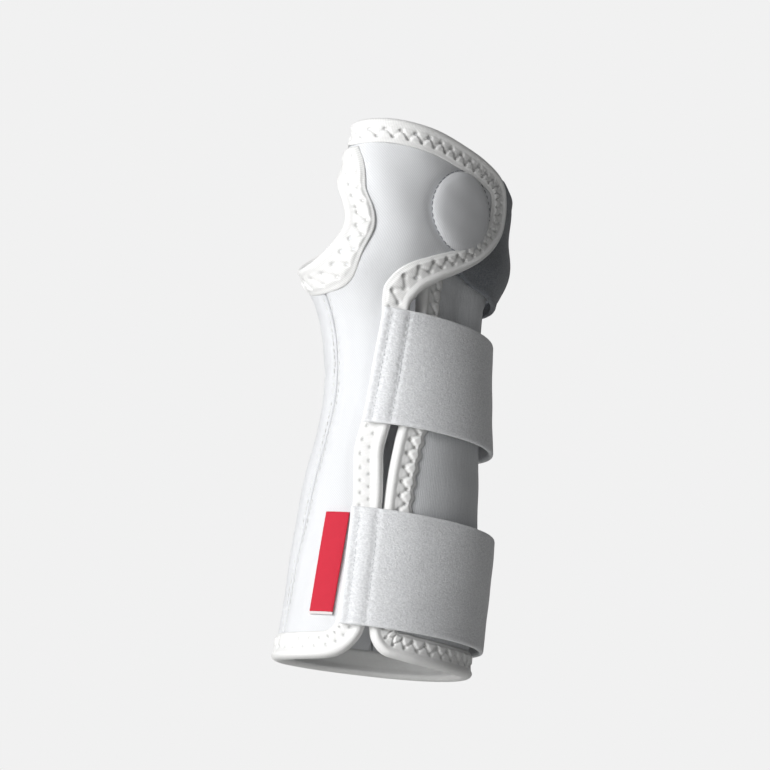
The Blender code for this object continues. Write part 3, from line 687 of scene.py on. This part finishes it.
def palm_panel_outline(hem_edge, palm_edge):
    hem = hem_edge.raw()
    cut = hem[hem[:, 0] > ULNAR_SEAM_TURN - 360 + 1][1:]
    web = rim_angle(WEB_SEAM_TURN - 0.3, math.pi / 2)
    low = rim_angle(-100.4, -math.pi / 2)
    rim = rim_run(low + 2 * math.pi, web)
    seam = seam_line(THUMB_SEAM, -SEAM_GAP / 2, hem[0, 1], rim[0, 1])
    palm = palm_edge.raw()
    web_line = straight_seam(WEB_SEAM_TURN, -SEAM_GAP / 2, rim[-1, 1], palm[0, 1])
    ulnar = straight_seam(ULNAR_SEAM_TURN - 360, SEAM_GAP / 2, cut[-1, 1], palm[-1, 1])
    return np.vstack((seam[::-1], cut, ulnar, palm[::-1][1:-1], web_line[::-1][:-1], rim[::-1][:-1]))


def back_panel_outline(hem_edge):
    hem = hem_edge.raw()
    cut = hem[hem[:, 0] < ULNAR_SEAM_TURN - 360 - 1]
    seam = straight_seam(ULNAR_SEAM_TURN - 360, -SEAM_GAP / 2, cut[0, 1], ULNAR_TOP)
    outline = np.vstack((seam[::-1], cut[:-1], ((cut[-1, 0], ULNAR_TOP),)))
    return outline + (360, 0)


def strap_left(low, left_low, left_high, heights):
    """The sewn-on edge's turns, which lean more towards the top."""
    return left_low + (left_high - left_low) * ((heights - low) / STRAP_WIDTH) ** STRAP_LEAN


def strap_outline(low, left_low, left_high, corner=0.12):
    high = low + STRAP_WIDTH
    nip = corner * STRAP_WIDTH
    end_low = shifted(STRAP_END_TURN, low, -nip, 0)
    end_high = shifted(STRAP_END_TURN, high, -nip, 0)
    heights = np.linspace(high, low, 13)
    rows = list(zip(strap_left(low, left_low, left_high, heights), heights))
    rows += [end_low, (STRAP_END_TURN, low + nip), (STRAP_END_TURN, high - nip)]
    return np.array(rows + [end_high])


def strap_hook_outline(low):
    end_turn = STRAP_END_TURN - HOOK_MARGIN / reach_per_degree(STRAP_END_TURN, low)
    start_turn = end_turn - STRAP_HOOK_LENGTH / reach_per_degree(STRAP_END_TURN, low)
    bottom = low + HOOK_MARGIN
    top = low + STRAP_WIDTH - HOOK_MARGIN
    return np.array([(start_turn, top), (start_turn, bottom), (end_turn, bottom), (end_turn, top)])


def round_outline(turn, z, width, length, sides=90):
    steps = np.linspace(0, 2 * math.pi, sides, endpoint=False)
    return np.stack(shifted(turn + 0 * steps, z + 0 * steps, width / 2 * np.cos(steps), length / 2 * np.sin(steps)),
                    axis=-1)


def label_outline(strap_low, right_low, right_high):
    bottom = strap_low + LABEL_SHARE * STRAP_WIDTH
    top = bottom + LABEL_LENGTH
    left_low = shifted(right_low, bottom, -LABEL_WIDTH, 0)
    left_high = shifted(right_high, top, -LABEL_WIDTH, 0)
    return np.array([left_low, (right_low, bottom), (right_high, top), left_high])


# Materials
class Shader:
    """A small helper that builds one cloth material's nodes."""

    def __init__(self, name, roughness, sheen, sheen_roughness=0.5):
        self.material = bpy.data.materials.new(name)
        self.material.use_nodes = True
        self.tree = self.material.node_tree
        self.surface = self.tree.nodes["Principled BSDF"]
        self.surface.inputs["Roughness"].default_value = roughness
        self.surface.inputs["Sheen Weight"].default_value = sheen
        self.surface.inputs["Sheen Roughness"].default_value = sheen_roughness
        self.surface.inputs["Specular IOR Level"].default_value = 0.25
        self.uv = self.add("ShaderNodeUVMap", uv_map="flat").outputs["UV"]

    def add(self, kind, **settings):
        node = self.tree.nodes.new(kind)
        for key, value in settings.items():
            setattr(node, key, value)
        return node

    def link(self, source, target):
        self.tree.links.new(source, target)

    def placed(self, scale, turn=0.0):
        mapping = self.add("ShaderNodeMapping")
        mapping.inputs["Rotation"].default_value = (0, 0, math.radians(turn))
        mapping.inputs["Scale"].default_value = (*scale, 1)
        self.link(self.uv, mapping.inputs["Vector"])
        return mapping.outputs["Vector"]

    def noise(self, scale, detail=3.0, rough=0.6, turn=0.0):
        node = self.add("ShaderNodeTexNoise")
        node.inputs["Scale"].default_value = 1
        node.inputs["Detail"].default_value = detail
        node.inputs["Roughness"].default_value = rough
        self.link(self.placed(scale, turn), node.inputs["Vector"])
        return node.outputs["Fac"]

    def ribs(self, pitch, turn, warp=0.6):
        node = self.add("ShaderNodeTexWave", wave_type="BANDS", bands_direction="X")
        node.inputs["Scale"].default_value = math.pi / 10 / pitch
        node.inputs["Distortion"].default_value = warp
        node.inputs["Detail"].default_value = 1.0
        node.inputs["Detail Scale"].default_value = 2.5
        self.link(self.placed((1, 1), turn), node.inputs["Vector"])
        return node.outputs["Fac"]

    def maths(self, operation, first, second=0.0, third=0.0):
        node = self.add("ShaderNodeMath", operation=operation)
        for socket, value in zip(node.inputs, (first, second, third)):
            if isinstance(value, (int, float)):
                socket.default_value = value
            else:
                self.link(value, socket)
        return node.outputs[0]

    def blend(self, share, first, second):
        node = self.add("ShaderNodeMix", data_type="RGBA")
        self.link(share, node.inputs["Factor"])
        for socket, value in zip((node.inputs["A"], node.inputs["B"]), (first, second)):
            target = [s for s in node.inputs if s.name == socket.name and s.type == "RGBA"][0]
            if isinstance(value, tuple):
                target.default_value = (*value, 1)
            else:
                self.link(value, target)
        return [s for s in node.outputs if s.type == "RGBA"][0]

    def ranged(self, value, low, high, out_low=0.0, out_high=1.0):
        node = self.add("ShaderNodeMapRange")
        for key, number in (("From Min", low), ("From Max", high), ("To Min", out_low), ("To Max", out_high)):
            node.inputs[key].default_value = number
        self.link(value, node.inputs["Value"])
        return node.outputs["Result"]

    def rim(self, near, far):
        """1 at a piece's edge, 0 further in."""
        node = self.add("ShaderNodeAttribute", attribute_name="rim")
        return self.ranged(node.outputs["Fac"], near, far, 1, 0)

    def bump(self, value, strength, distance, before=None):
        node = self.add("ShaderNodeBump")
        node.inputs["Strength"].default_value = strength
        node.inputs["Distance"].default_value = distance
        self.link(value, node.inputs["Height"])
        if before is not None:
            self.link(before, node.inputs["Normal"])
        return node.outputs["Normal"]

    def finish(self, colour, normal, roughness=None):
        self.link(colour, self.surface.inputs["Base Color"])
        self.link(normal, self.surface.inputs["Normal"])
        if roughness is not None:
            self.link(roughness, self.surface.inputs["Roughness"])
        return self.material


def twill_cloth(name, light, dark, rib_turn=-40):
    """Fine ribbed cloth, darker near its edges: partly soil, partly painted shade along seams and tape edges."""
    s = Shader(name, 0.8, 0.25)
    ribs = s.ribs(0.56, rib_turn, 1.0)
    cross = s.ribs(0.44, rib_turn - 90, 1.6)
    fibre = s.noise((3.2, 3.2), 4, 0.7)
    patches = s.noise((0.09, 0.09), 3, 0.55)
    weave = s.maths("ADD", s.maths("MULTIPLY", ribs, 0.62), s.maths("MULTIPLY", cross, 0.38))
    tone = s.maths("MULTIPLY_ADD", fibre, 0.5, s.maths("MULTIPLY", weave, 0.5))
    colour = s.blend(s.ranged(tone, 0.25, 0.75), dark, light)
    worn = s.ranged(patches, 0.42, 0.7, 0, 0.25)
    colour = s.blend(worn, colour, tuple(0.9 * value for value in light))
    # Darker near the piece's edges: partly soil, partly painted shade where seams and tapes meet the cloth.
    colour = s.blend(s.maths("MULTIPLY", s.rim(0.0, 2.2), 0.22), colour, tuple(0.72 * value for value in dark))
    normal = s.bump(s.maths("MULTIPLY_ADD", fibre, 0.6, weave), 0.4, 0.09 * MM)
    normal = s.bump(patches, 0.35, 0.5 * MM, normal)
    return s.finish(colour, normal, s.ranged(fibre, 0.3, 0.7, 0.72, 0.9))


def streaked_cloth(name, light, dark):
    """Knitted cloth whose fine ribs run along the arm."""
    s = Shader(name, 0.88, 0.2)
    ribs = s.ribs(0.62, 4, 1.6)
    streaks = s.noise((1.4, 0.12), 4, 0.6)
    fibre = s.noise((1.8, 1.5), 4, 0.75)
    tone = s.maths("MULTIPLY_ADD", streaks, 0.4, s.maths("MULTIPLY_ADD", fibre, 0.48, s.maths("MULTIPLY", ribs, 0.12)))
    colour = s.blend(s.ranged(tone, 0.3, 0.66), dark, light)
    # Darker near the piece's edges: partly soil, partly painted shade where seams and tapes meet the cloth.
    colour = s.blend(s.maths("MULTIPLY", s.rim(0.0, 2.0), 0.2), colour, tuple(0.7 * value for value in dark))
    normal = s.bump(s.maths("MULTIPLY_ADD", ribs, 0.4, fibre), 0.5, 0.14 * MM)
    normal = s.bump(streaks, 0.3, 0.16 * MM, normal)
    return s.finish(colour, normal, s.ranged(fibre, 0.3, 0.7, 0.8, 0.95))


def loop_felt(name, light, dark):
    """Brushed loop cloth with a speckled nap."""
    s = Shader(name, 0.95, 0.3, 0.6)
    fine = s.noise((1.7, 1.7), 3, 0.8)
    curls = s.noise((0.75, 0.7), 4, 0.75, 30)
    patches = s.noise((0.12, 0.14), 3, 0.6)
    tone = s.maths("MULTIPLY_ADD", fine, 0.65, s.maths("MULTIPLY", curls, 0.35))
    colour = s.blend(s.ranged(tone, 0.4, 0.6), dark, light)
    colour = s.blend(s.ranged(patches, 0.45, 0.7, 0, 0.3), colour, tuple(0.86 * value for value in light))
    # Lighter near the piece's edges: a painted highlight along the rounded edge.
    colour = s.blend(s.maths("MULTIPLY", s.rim(0.0, 1.4), 0.35), colour, tuple(1.12 * value for value in light))
    normal = s.bump(fine, 0.8, 0.3 * MM)
    normal = s.bump(curls, 0.6, 0.35 * MM, normal)
    return s.finish(colour, normal, s.ranged(curls, 0.3, 0.7, 0.88, 1.0))


def tape_cloth(name, light, dark):
    """Smooth stretch tape, finely ribbed across, with painted shade in its needle holes."""
    s = Shader(name, 0.6, 0.2)
    ribs = s.ribs(0.42, 0, 0.6)
    fibre = s.noise((2.4, 3.4), 3, 0.7)
    patches = s.noise((0.15, 0.3), 3, 0.6)
    tone = s.maths("MULTIPLY_ADD", ribs, 0.4, s.maths("MULTIPLY", fibre, 0.6))
    colour = s.blend(s.ranged(tone, 0.3, 0.7), dark, light)
    colour = s.blend(s.ranged(patches, 0.5, 0.75, 0, 0.3), colour, tuple(0.9 * value for value in dark))
    # Painted shade in the needle holes, driven by the tape's pit depth.
    pit = s.add("ShaderNodeAttribute", attribute_name="pit").outputs["Fac"]
    colour = s.blend(s.ranged(pit, 0.1, 0.9, 0, 0.6), colour, tuple(0.45 * value for value in dark))
    normal = s.bump(s.maths("ADD", ribs, s.maths("MULTIPLY", fibre, 0.5)), 0.35, 0.08 * MM)
    return s.finish(colour, normal, s.ranged(fibre, 0.3, 0.7, 0.5, 0.7))


def plain_thread(name, light, dark):
    s = Shader(name, 0.6, 0.2)
    place = s.add("ShaderNodeTexCoord").outputs["Object"]
    node = s.add("ShaderNodeTexNoise")
    node.inputs["Scale"].default_value = 2600
    s.link(place, node.inputs["Vector"])
    colour = s.blend(node.outputs["Fac"], dark, light)
    return s.finish(colour, s.bump(node.outputs["Fac"], 0.4, 0.05 * MM))


def hook_pile(name, light, dark):
    """Rows of small nylon hooks."""
    s = Shader(name, 0.5, 0.1)
    rows = s.ribs(1.3, 0, 0.1)
    tips = s.ribs(1.1, 90, 0.1)
    pile = s.maths("MULTIPLY", rows, tips)
    colour = s.blend(pile, dark, light)
    return s.finish(colour, s.bump(pile, 0.8, 0.4 * MM))


def label_weave(name, light, dark):
    s = Shader(name, 0.7, 0.2)
    warp = s.ribs(0.3, 0, 0.2)
    weft = s.ribs(0.34, 90, 0.2)
    weave = s.maths("MULTIPLY_ADD", warp, 0.5, s.maths("MULTIPLY", weft, 0.5))
    fibre = s.noise((2.0, 2.0), 3, 0.6)
    tone = s.maths("MULTIPLY_ADD", weave, 0.6, s.maths("MULTIPLY", fibre, 0.4))
    colour = s.blend(s.ranged(tone, 0.3, 0.7), dark, light)
    return s.finish(colour, s.bump(weave, 0.5, 0.06 * MM), s.ranged(fibre, 0.3, 0.7, 0.6, 0.8))


PANEL_CLOTH = twill_cloth("panel_cloth", (0.73, 0.74, 0.755), (0.62, 0.63, 0.65))
BACK_CLOTH = streaked_cloth("back_cloth", (0.74, 0.755, 0.77), (0.55, 0.56, 0.58))
# A dark felt that paints in the shade on the hand tab, which faces away from the light.
TAB_FELT_PAINTED_SHADE = loop_felt("tab_felt_painted_shade", (0.23, 0.245, 0.27), (0.12, 0.128, 0.145))
STRAP_FELT = loop_felt("strap_felt", (0.86, 0.87, 0.885), (0.64, 0.65, 0.67))
WHITE_TAPE = tape_cloth("white_tape", (0.86, 0.86, 0.85), (0.74, 0.74, 0.735))
WHITE_THREAD = plain_thread("white_thread", (0.84, 0.84, 0.82), (0.62, 0.62, 0.61))
GREY_THREAD = plain_thread("grey_thread", (0.66, 0.67, 0.69), (0.46, 0.47, 0.49))
DARK_THREAD = plain_thread("dark_thread", (0.26, 0.27, 0.3), (0.15, 0.155, 0.17))
HOOK_NYLON = hook_pile("hook_nylon", (0.8, 0.8, 0.78), (0.5, 0.5, 0.49))
RED_WEAVE = label_weave("red_weave", (0.60, 0.02, 0.045), (0.46, 0.01, 0.03))
PALE_WEAVE = label_weave("pale_weave", (0.75, 0.70, 0.70), (0.6, 0.54, 0.54))


# Relief of the cloth pieces
def waves(points, sizes, seeds):
    """Soft uneven height made of a few crossing waves, from -1 to 1."""
    u = arc_length(points[:, 0], points[:, 1]) / MM
    v = points[:, 1] / MM
    total = np.zeros(len(points))
    for k, (size, seed) in enumerate(zip(sizes, seeds)):
        way = math.radians(47 * k + seed)
        total += np.sin((u * math.cos(way) + v * math.sin(way)) * 2 * math.pi / size + seed)
    return total / len(sizes)


def seam_dip(away, depth=0.55 * MM, width=2.2 * MM):
    return -depth * bell(away, width)


def thumb_relief(points, away):
    turn = nearest_turn(points[:, 0])
    z = points[:, 1]
    seam = nearest_distance(points, dense(THUMB_SEAM))
    disc = nearest_distance(points, round_outline(DISC_TURN, DISC_HEIGHT, DISC_WIDTH, DISC_LENGTH))
    soft = 0.16 * MM * waves(points, (31, 23, 17), (3, 11, 20))
    pull = 0.22 * MM * np.sin((turn + 1.1 * z / MM) * 0.16) * smooth(z, 0.2 * HAND_LENGTH, 0.5 * HAND_LENGTH)
    ring = -0.5 * MM * bell(disc, 1.6 * MM)
    pucker = 0.12 * MM * np.sin(z / MM * 1.9) * bell(seam - 2 * MM, 2.5 * MM)
    return soft + pull + ring + pucker + seam_dip(away - 7 * MM, 0.25 * MM, 1.6 * MM) + seam_dip(seam)


def palm_relief(points, away):
    z = points[:, 1]
    turn = points[:, 0]
    seam = nearest_distance(points, dense(THUMB_SEAM))
    channel = abs(arc_length(turn, z) - arc_length(-185 + 0 * turn, z))
    stay = 0.9 * MM * (1 - smooth(channel, 9 * MM, 13 * MM))
    stay *= smooth(z, -0.86 * FOREARM_LENGTH, -0.78 * FOREARM_LENGTH) * (1 - smooth(z, 0.62 * HAND_LENGTH, 0.72 * HAND_LENGTH))
    soft = 0.2 * MM * waves(points, (37, 25, 18), (5, 9, 31))
    crease = -0.35 * MM * bell(z - 4 * MM + 2 * MM * np.sin(turn * 0.07), 2.4 * MM)
    pucker = 0.12 * MM * np.sin(z / MM * 1.9) * bell(seam - 2 * MM, 2.5 * MM)
    return soft + stay * 0.7 + crease * smooth(channel, 10 * MM, 16 * MM) + pucker + seam_dip(seam)


def back_relief(points, away):
    soft = 0.2 * MM * waves(points, (33, 21, 15), (8, 2, 15))
    return soft + seam_dip(away - 7 * MM, 0.2 * MM, 1.6 * MM)


def tab_relief(points, away):
    return 0.18 * MM * waves(points, (29, 19, 13), (1, 7, 12)) - 0.3 * MM * bell(away - 3 * MM, 0.6 * MM)


def strap_relief(line_one, line_two):
    def relief(points, away):
        first = nearest_distance(points, line_one)
        second = nearest_distance(points, line_two)
        rows = -0.45 * MM * (bell(first, 0.42 * MM) + bell(second, 0.42 * MM))
        between = 0.25 * MM * bell((first - second), 2.6 * MM) * smooth(8 * MM - first - second, 0, 2 * MM)
        beat = np.cos((points[:, 1] - line_one[0, 1] - 0.1 * MM) / STITCH_PITCH * 2 * math.pi)
        puffed = -0.3 * MM * beat * (bell(first, 0.7 * MM) + bell(second, 0.7 * MM))
        soft = 0.14 * MM * waves(points, (41, 27, 12), (2, 13, 24))
        return rows + between + puffed + soft
    return relief


def flat_relief(points, away):
    return 0 * away


def fitted(piece, nodes):
    """Ties a piece to the frame."""
    if nodes:
        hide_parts(*nodes)
    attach(piece, "root")
    return piece


# Edges, shared by panels and tapes
STATION = 0.42 * MM
half = half_gap(-117, -FOREARM_LENGTH)
web_half = half_gap(WEB_SEAM_TURN, HAND_LENGTH)
flap_edge = Edge((((-117 + half, -1.003),), THUMB_HEM[1:], THUMB_SLIT, FLAP_LOWER, FLAP_END, FLAP_TOP[:-1],
                  ((WEB_SEAM_TURN + web_half, 0.985),)), 1, STATION)
hem_edge = Edge((((-117 - half, -1.003),), SLEEVE_HEM[1:], ULNAR_SLIT), -1, STATION)
palm_edge = Edge((((WEB_SEAM_TURN - web_half, 0.985),), PALM_TOP[1:]), 1, STATION)
rim_edge = Rim(STATION)

# The widths of the tapes, narrower where two meet at the web of the thumb
top_line = np.vstack((dense(FLAP_TOP), dense(PALM_TOP)))
rim_line = np.stack(thumb_rim(np.radians(np.arange(0, 361, 3)), 0 * np.arange(0, 361, 3)), axis=-1)


def shared_band(edge, line):
    places = np.stack((edge.turn, edge.z), axis=-1)
    return np.minimum(TAPE_BAND, (nearest_distance(places, line) - MITRE_GAP) / 2)


def flap_puffs(edge):
    """Puffs are strong along the hand's edges, faint beside the slit and at the hem, and gone at the web."""
    hand = smooth(edge.z, 0.24 * HAND_LENGTH, 0.3 * HAND_LENGTH)
    web = 1 - smooth(edge.run, edge.run[-1] - 20 * MM, edge.run[-1] - 8 * MM)
    return 0.1 + 0.9 * hand * web


# Panels
fitted(cloth("thumb_panel_cloth", thumb_panel_outline(flap_edge), flap_rise, PANEL, 1.0 * MM, thumb_relief,
             [PANEL_CLOTH]), ["thumb_panel"])
fitted(cloth("palm_panel_cloth", palm_panel_outline(hem_edge, palm_edge), base_rise, PANEL, 1.0 * MM, palm_relief,
             [PANEL_CLOTH], 1.5 * MM), ["palm_panel"])
fitted(cloth("back_panel_cloth", back_panel_outline(hem_edge), sleeve_rise, PANEL, 1.0 * MM, back_relief,
             [BACK_CLOTH]), ["back_panel"])
tab_rows = np.array([(turn - (0.3 if turn == TAB_SEAM_TURN else 0), height(share)) for turn, share in TAB_EDGE])
fitted(cloth("hand_tab_loop", tab_rows, tab_rise, TAB, 0.9 * MM, tab_relief, [TAB_FELT_PAINTED_SHADE]), ["hand_tab"])

# Tapes
flap_band = shared_band(flap_edge, rim_line)
hem_band = TAPE_BAND + 0 * hem_edge.run
palm_band = shared_band(palm_edge, rim_line)
rim_places = np.stack((rim_edge.turn, rim_edge.z), axis=-1)
rim_room = nearest_distance(rim_places, top_line) - MITRE_GAP
rim_way = np.degrees(rim_edge.angle)
rim_most = TAPE_BAND + 9 * MM * smooth(rim_way, 10, 45) * (1 - smooth(rim_way, 115, 145))
rim_band = 0 * rim_edge.run
free = rim_band == 0
for reach in np.arange(4 * MM, TAPE_BAND + 9 * MM, 0.1 * MM):
    inner = np.stack(rim_edge.place(reach), axis=-1)
    free &= nearest_distance(inner, top_line) > np.minimum(TAPE_BAND, rim_room / 2) + MITRE_GAP
    free &= reach < rim_most
    rim_band = np.where(free, reach, rim_band)
flap_strength = flap_puffs(flap_edge)
hem_strength = 1 + 0 * hem_edge.run
palm_strength = 0.1 + 0.9 * smooth(palm_edge.run, 6 * MM, 16 * MM)
rim_strength = 1.25 - 1.15 * smooth(rim_way, 35, 60) * (1 - smooth(rim_way, 120, 150))


class WideRim:
    """The rim with its places ready for a whole profile."""

    def __init__(self, rim):
        self.run = rim.run
        self.angle = rim.angle[:, None]

    def place(self, insets):
        return thumb_rim(self.angle + 0 * insets, insets)


fitted(tape("flap_tape", flap_edge, flap_rise, flap_band, flap_strength, FLAP_PITCH), ["flap_binding"])
slit_swell = 0.35 * MM * smooth(hem_edge.z, -0.85 * FOREARM_LENGTH, -0.7 * FOREARM_LENGTH)[:, None]
fitted(tape("hem_tape", hem_edge, sleeve_rise, hem_band, hem_strength, SLIT_PITCH, False, slit_swell), ["hem_binding"])
fitted(tape("palm_tape", palm_edge, base_rise, palm_band, palm_strength, FLAP_PITCH), ["palm_binding"])
fitted(tape("thumb_tape", WideRim(rim_edge), flap_rise, rim_band, rim_strength, RIM_PITCH, True), ["thumb_binding"])
fitted(tape_threads("flap_tape_thread", flap_edge, flap_rise, flap_band, flap_strength, FLAP_PITCH), [])
fitted(tape_threads("hem_tape_thread", hem_edge, sleeve_rise, hem_band, hem_strength, SLIT_PITCH), [])
fitted(tape_threads("palm_tape_thread", palm_edge, base_rise, palm_band, palm_strength, FLAP_PITCH), [])
fitted(tape_threads("thumb_tape_thread", rim_edge, flap_rise, rim_band, rim_strength, RIM_PITCH), [])

# Straps, with two stitched rows beside the sewn-on end
UPPER_LOW = height(THUMB_SLIT[-1][1]) - STRAP_BELOW_FLAP - STRAP_WIDTH
LOWER_LOW = -FOREARM_LENGTH + STRAP_ABOVE_HEM


def strap(name, low, left_low, left_high, nodes):
    """One strap: its felt, its stitched rows and its hook pad."""
    high = low + STRAP_WIDTH
    lines = []
    for reach in (2.4 * MM, 7.2 * MM):
        heights = np.linspace(low + 1 * MM, high - 1 * MM, 40)
        lefts = strap_left(low, left_low, left_high, heights)
        lines.append(np.stack(shifted(lefts, heights, reach + 0 * heights, 0 * heights), axis=-1))
    outline = strap_outline(low, left_low, left_high)
    fitted(cloth(name + "_felt", outline, strap_rise, STRAP, 0.9 * MM, strap_relief(*lines), [STRAP_FELT], 0.8 * MM), nodes[:1])
    for number, line in enumerate(lines, 1):
        fitted(stitch_row(f"{name}_stitches_{number}", line, strap_rise, STRAP - 0.36 * MM, GREY_THREAD), [])
    fitted(cloth(name + "_hook_pad", strap_hook_outline(low), strap_hook_rise, HOOK, 0.5 * MM, flat_relief, [HOOK_NYLON],
                 1.6 * MM), nodes[1:])


strap("upper_strap", UPPER_LOW, -70, -55.5, ["upper_strap", "upper_strap_hook"])
strap("lower_strap", LOWER_LOW, -67, -68, ["lower_strap", "lower_strap_hook"])


# The label, bare, with a pale folded end
LABEL_FOLD = 0.9 * MM
label_rows = label_outline(LOWER_LOW, -72, -69.5)
fold_share = LABEL_FOLD / LABEL_LENGTH
fold_left = label_rows[0] + (label_rows[3] - label_rows[0]) * fold_share
fold_right = label_rows[1] + (label_rows[2] - label_rows[1]) * fold_share
fitted(cloth("red_label", np.array((fold_left, fold_right, label_rows[2], label_rows[3])), strap_hook_rise, LABEL,
             0.3 * MM, flat_relief, [RED_WEAVE], 0.8 * MM), ["label"])
fitted(cloth("label_fold", np.array((label_rows[0], label_rows[1], fold_right, fold_left)), strap_hook_rise, LABEL,
             0.2 * MM, flat_relief, [PALE_WEAVE], 0.4 * MM), [])

# The fastener pad under the flap, and the round puffed place above it
fitted(cloth("flap_hook_pad", round_outline(-14, 0.715 * HAND_LENGTH, FLAP_HOOK_DIAMETER, FLAP_HOOK_DIAMETER), flap_hook_rise, HOOK,
             0.5 * MM, flat_relief, [HOOK_NYLON], 1.6 * MM), ["flap_hook"])


def disc_rise(turn, z):
    return flap_rise(turn, z) + PANEL - 0.35 * MM


def disc_relief(points, away):
    return DISC_PUFF * (1 - np.exp(-away / (2.4 * MM))) + 0.1 * MM * waves(points, (14, 9), (4, 17))


fitted(cloth("flap_disc", round_outline(DISC_TURN, DISC_HEIGHT, DISC_WIDTH, DISC_LENGTH), disc_rise, 0.9 * MM, 0.7 * MM,
             disc_relief, [PANEL_CLOTH], 0.9 * MM), [])
ring_line = round_outline(DISC_TURN, DISC_HEIGHT, DISC_WIDTH + 0.5 * MM, DISC_LENGTH + 0.5 * MM, 181)
fitted(stitch_row("disc_stitches", np.vstack((ring_line, ring_line[:1])), flap_rise, PANEL + 0.12 * MM, DARK_THREAD,
                  2.1 * MM, 1.5 * MM), [])

# Seam stitches
seam_high = thumb_rim(-math.pi / 2, np.array((TAPE_BAND,)))[1][0]
for side, sideways in (("thumb", 1.3 * MM), ("palm", -1.3 * MM)):
    line = seam_line(THUMB_SEAM, sideways, -FOREARM_LENGTH + TAPE_BAND, seam_high)
    fitted(stitch_row(f"seam_stitches_{side}", line, base_rise, PANEL - 0.3 * MM, WHITE_THREAD, 2.2 * MM, 1.6 * MM,
                      0.22 * MM), [])


# Floor, lights and camera
def stage_material():
    material = bpy.data.materials.new("pale_floor")
    material.use_nodes = True
    surface = material.node_tree.nodes["Principled BSDF"]
    surface.inputs["Base Color"].default_value = (0.82, 0.82, 0.81, 1)
    surface.inputs["Roughness"].default_value = 0.9
    return material


FLOOR_LEVEL = -0.3
FLOOR_SIZE = 3.0
floor_corners = [(x * FLOOR_SIZE, y * FLOOR_SIZE, FLOOR_LEVEL) for x, y in ((-1, -1), (1, -1), (1, 1), (-1, 1))]
floor_mesh = bpy.data.meshes.new("floor")
floor_mesh.from_pydata(floor_corners, [], [(0, 1, 2, 3)])
floor_mesh.materials.append(stage_material())
floor = bpy.data.objects.new("floor", floor_mesh)
bpy.context.scene.collection.objects.link(floor)

AZIMUTH = math.radians(-50)
ELEVATION = math.radians(-12)
ROLL = math.radians(6.4)
DISTANCE = 0.9
back = Vector((math.sin(AZIMUTH) * math.cos(ELEVATION), -math.cos(AZIMUTH) * math.cos(ELEVATION), math.sin(ELEVATION)))
right = Vector((math.cos(AZIMUTH), math.sin(AZIMUTH), 0))
up = back.cross(right)
right_rolled = right * math.cos(ROLL) + up * math.sin(ROLL)
up_rolled = up * math.cos(ROLL) - right * math.sin(ROLL)


def light(name, way, distance, size, power, colour=(1, 1, 1)):
    """A soft square light that looks at the wrist from a way given in the picture's own directions."""
    data = bpy.data.lights.new(name, "AREA")
    data.shape = "SQUARE"
    data.size = size
    data.energy = power
    data.color = colour
    lamp = bpy.data.objects.new(name, data)
    bpy.context.scene.collection.objects.link(lamp)
    across, above, toward = way
    direction = (right * across + up * above + back * toward).normalized()
    lamp.location = direction * distance
    lamp.rotation_euler = direction.to_track_quat("Z", "Y").to_euler()
    return lamp


light("key", (-1.0, 0.3, 0.95), 1.1, 0.7, 14)
light("front", (0.1, 0.5, 1.0), 1.3, 0.9, 0.7)
light("top", (-0.2, 1.0, 0.1), 1.2, 0.8, 1.6)

world = bpy.data.worlds.new("studio")
world.use_nodes = True
bpy.context.scene.world = world
tree = world.node_tree
sky = tree.nodes["Background"]
coordinates = tree.nodes.new("ShaderNodeTexCoord")
facing = tree.nodes.new("ShaderNodeVectorMath")
facing.operation = "DOT_PRODUCT"
facing.inputs[1].default_value = -back
tree.links.new(coordinates.outputs["Generated"], facing.inputs[0])
spread = tree.nodes.new("ShaderNodeMapRange")
spread.interpolation_type = "SMOOTHSTEP"
for key, number in (("From Min", 0.7), ("From Max", 0.96), ("To Min", 0.08), ("To Max", 0.88)):
    spread.inputs[key].default_value = number
tree.links.new(facing.outputs["Value"], spread.inputs["Value"])
tree.links.new(spread.outputs["Result"], sky.inputs["Strength"])
sky.inputs["Color"].default_value = (1, 1, 1, 1)

camera_data = bpy.data.cameras.new("camera")
camera_data.sensor_width = 36
camera_data.lens = 126.2
camera_data.shift_x = -0.022
camera_data.shift_y = 0.0195
camera = bpy.data.objects.new("camera", camera_data)
bpy.context.scene.collection.objects.link(camera)
turned = Matrix((right_rolled, up_rolled, back)).transposed().to_4x4()
camera.matrix_world = Matrix.Translation(back * DISTANCE) @ turned
bpy.context.scene.camera = camera
bpy.context.scene.view_settings.view_transform = "Standard"
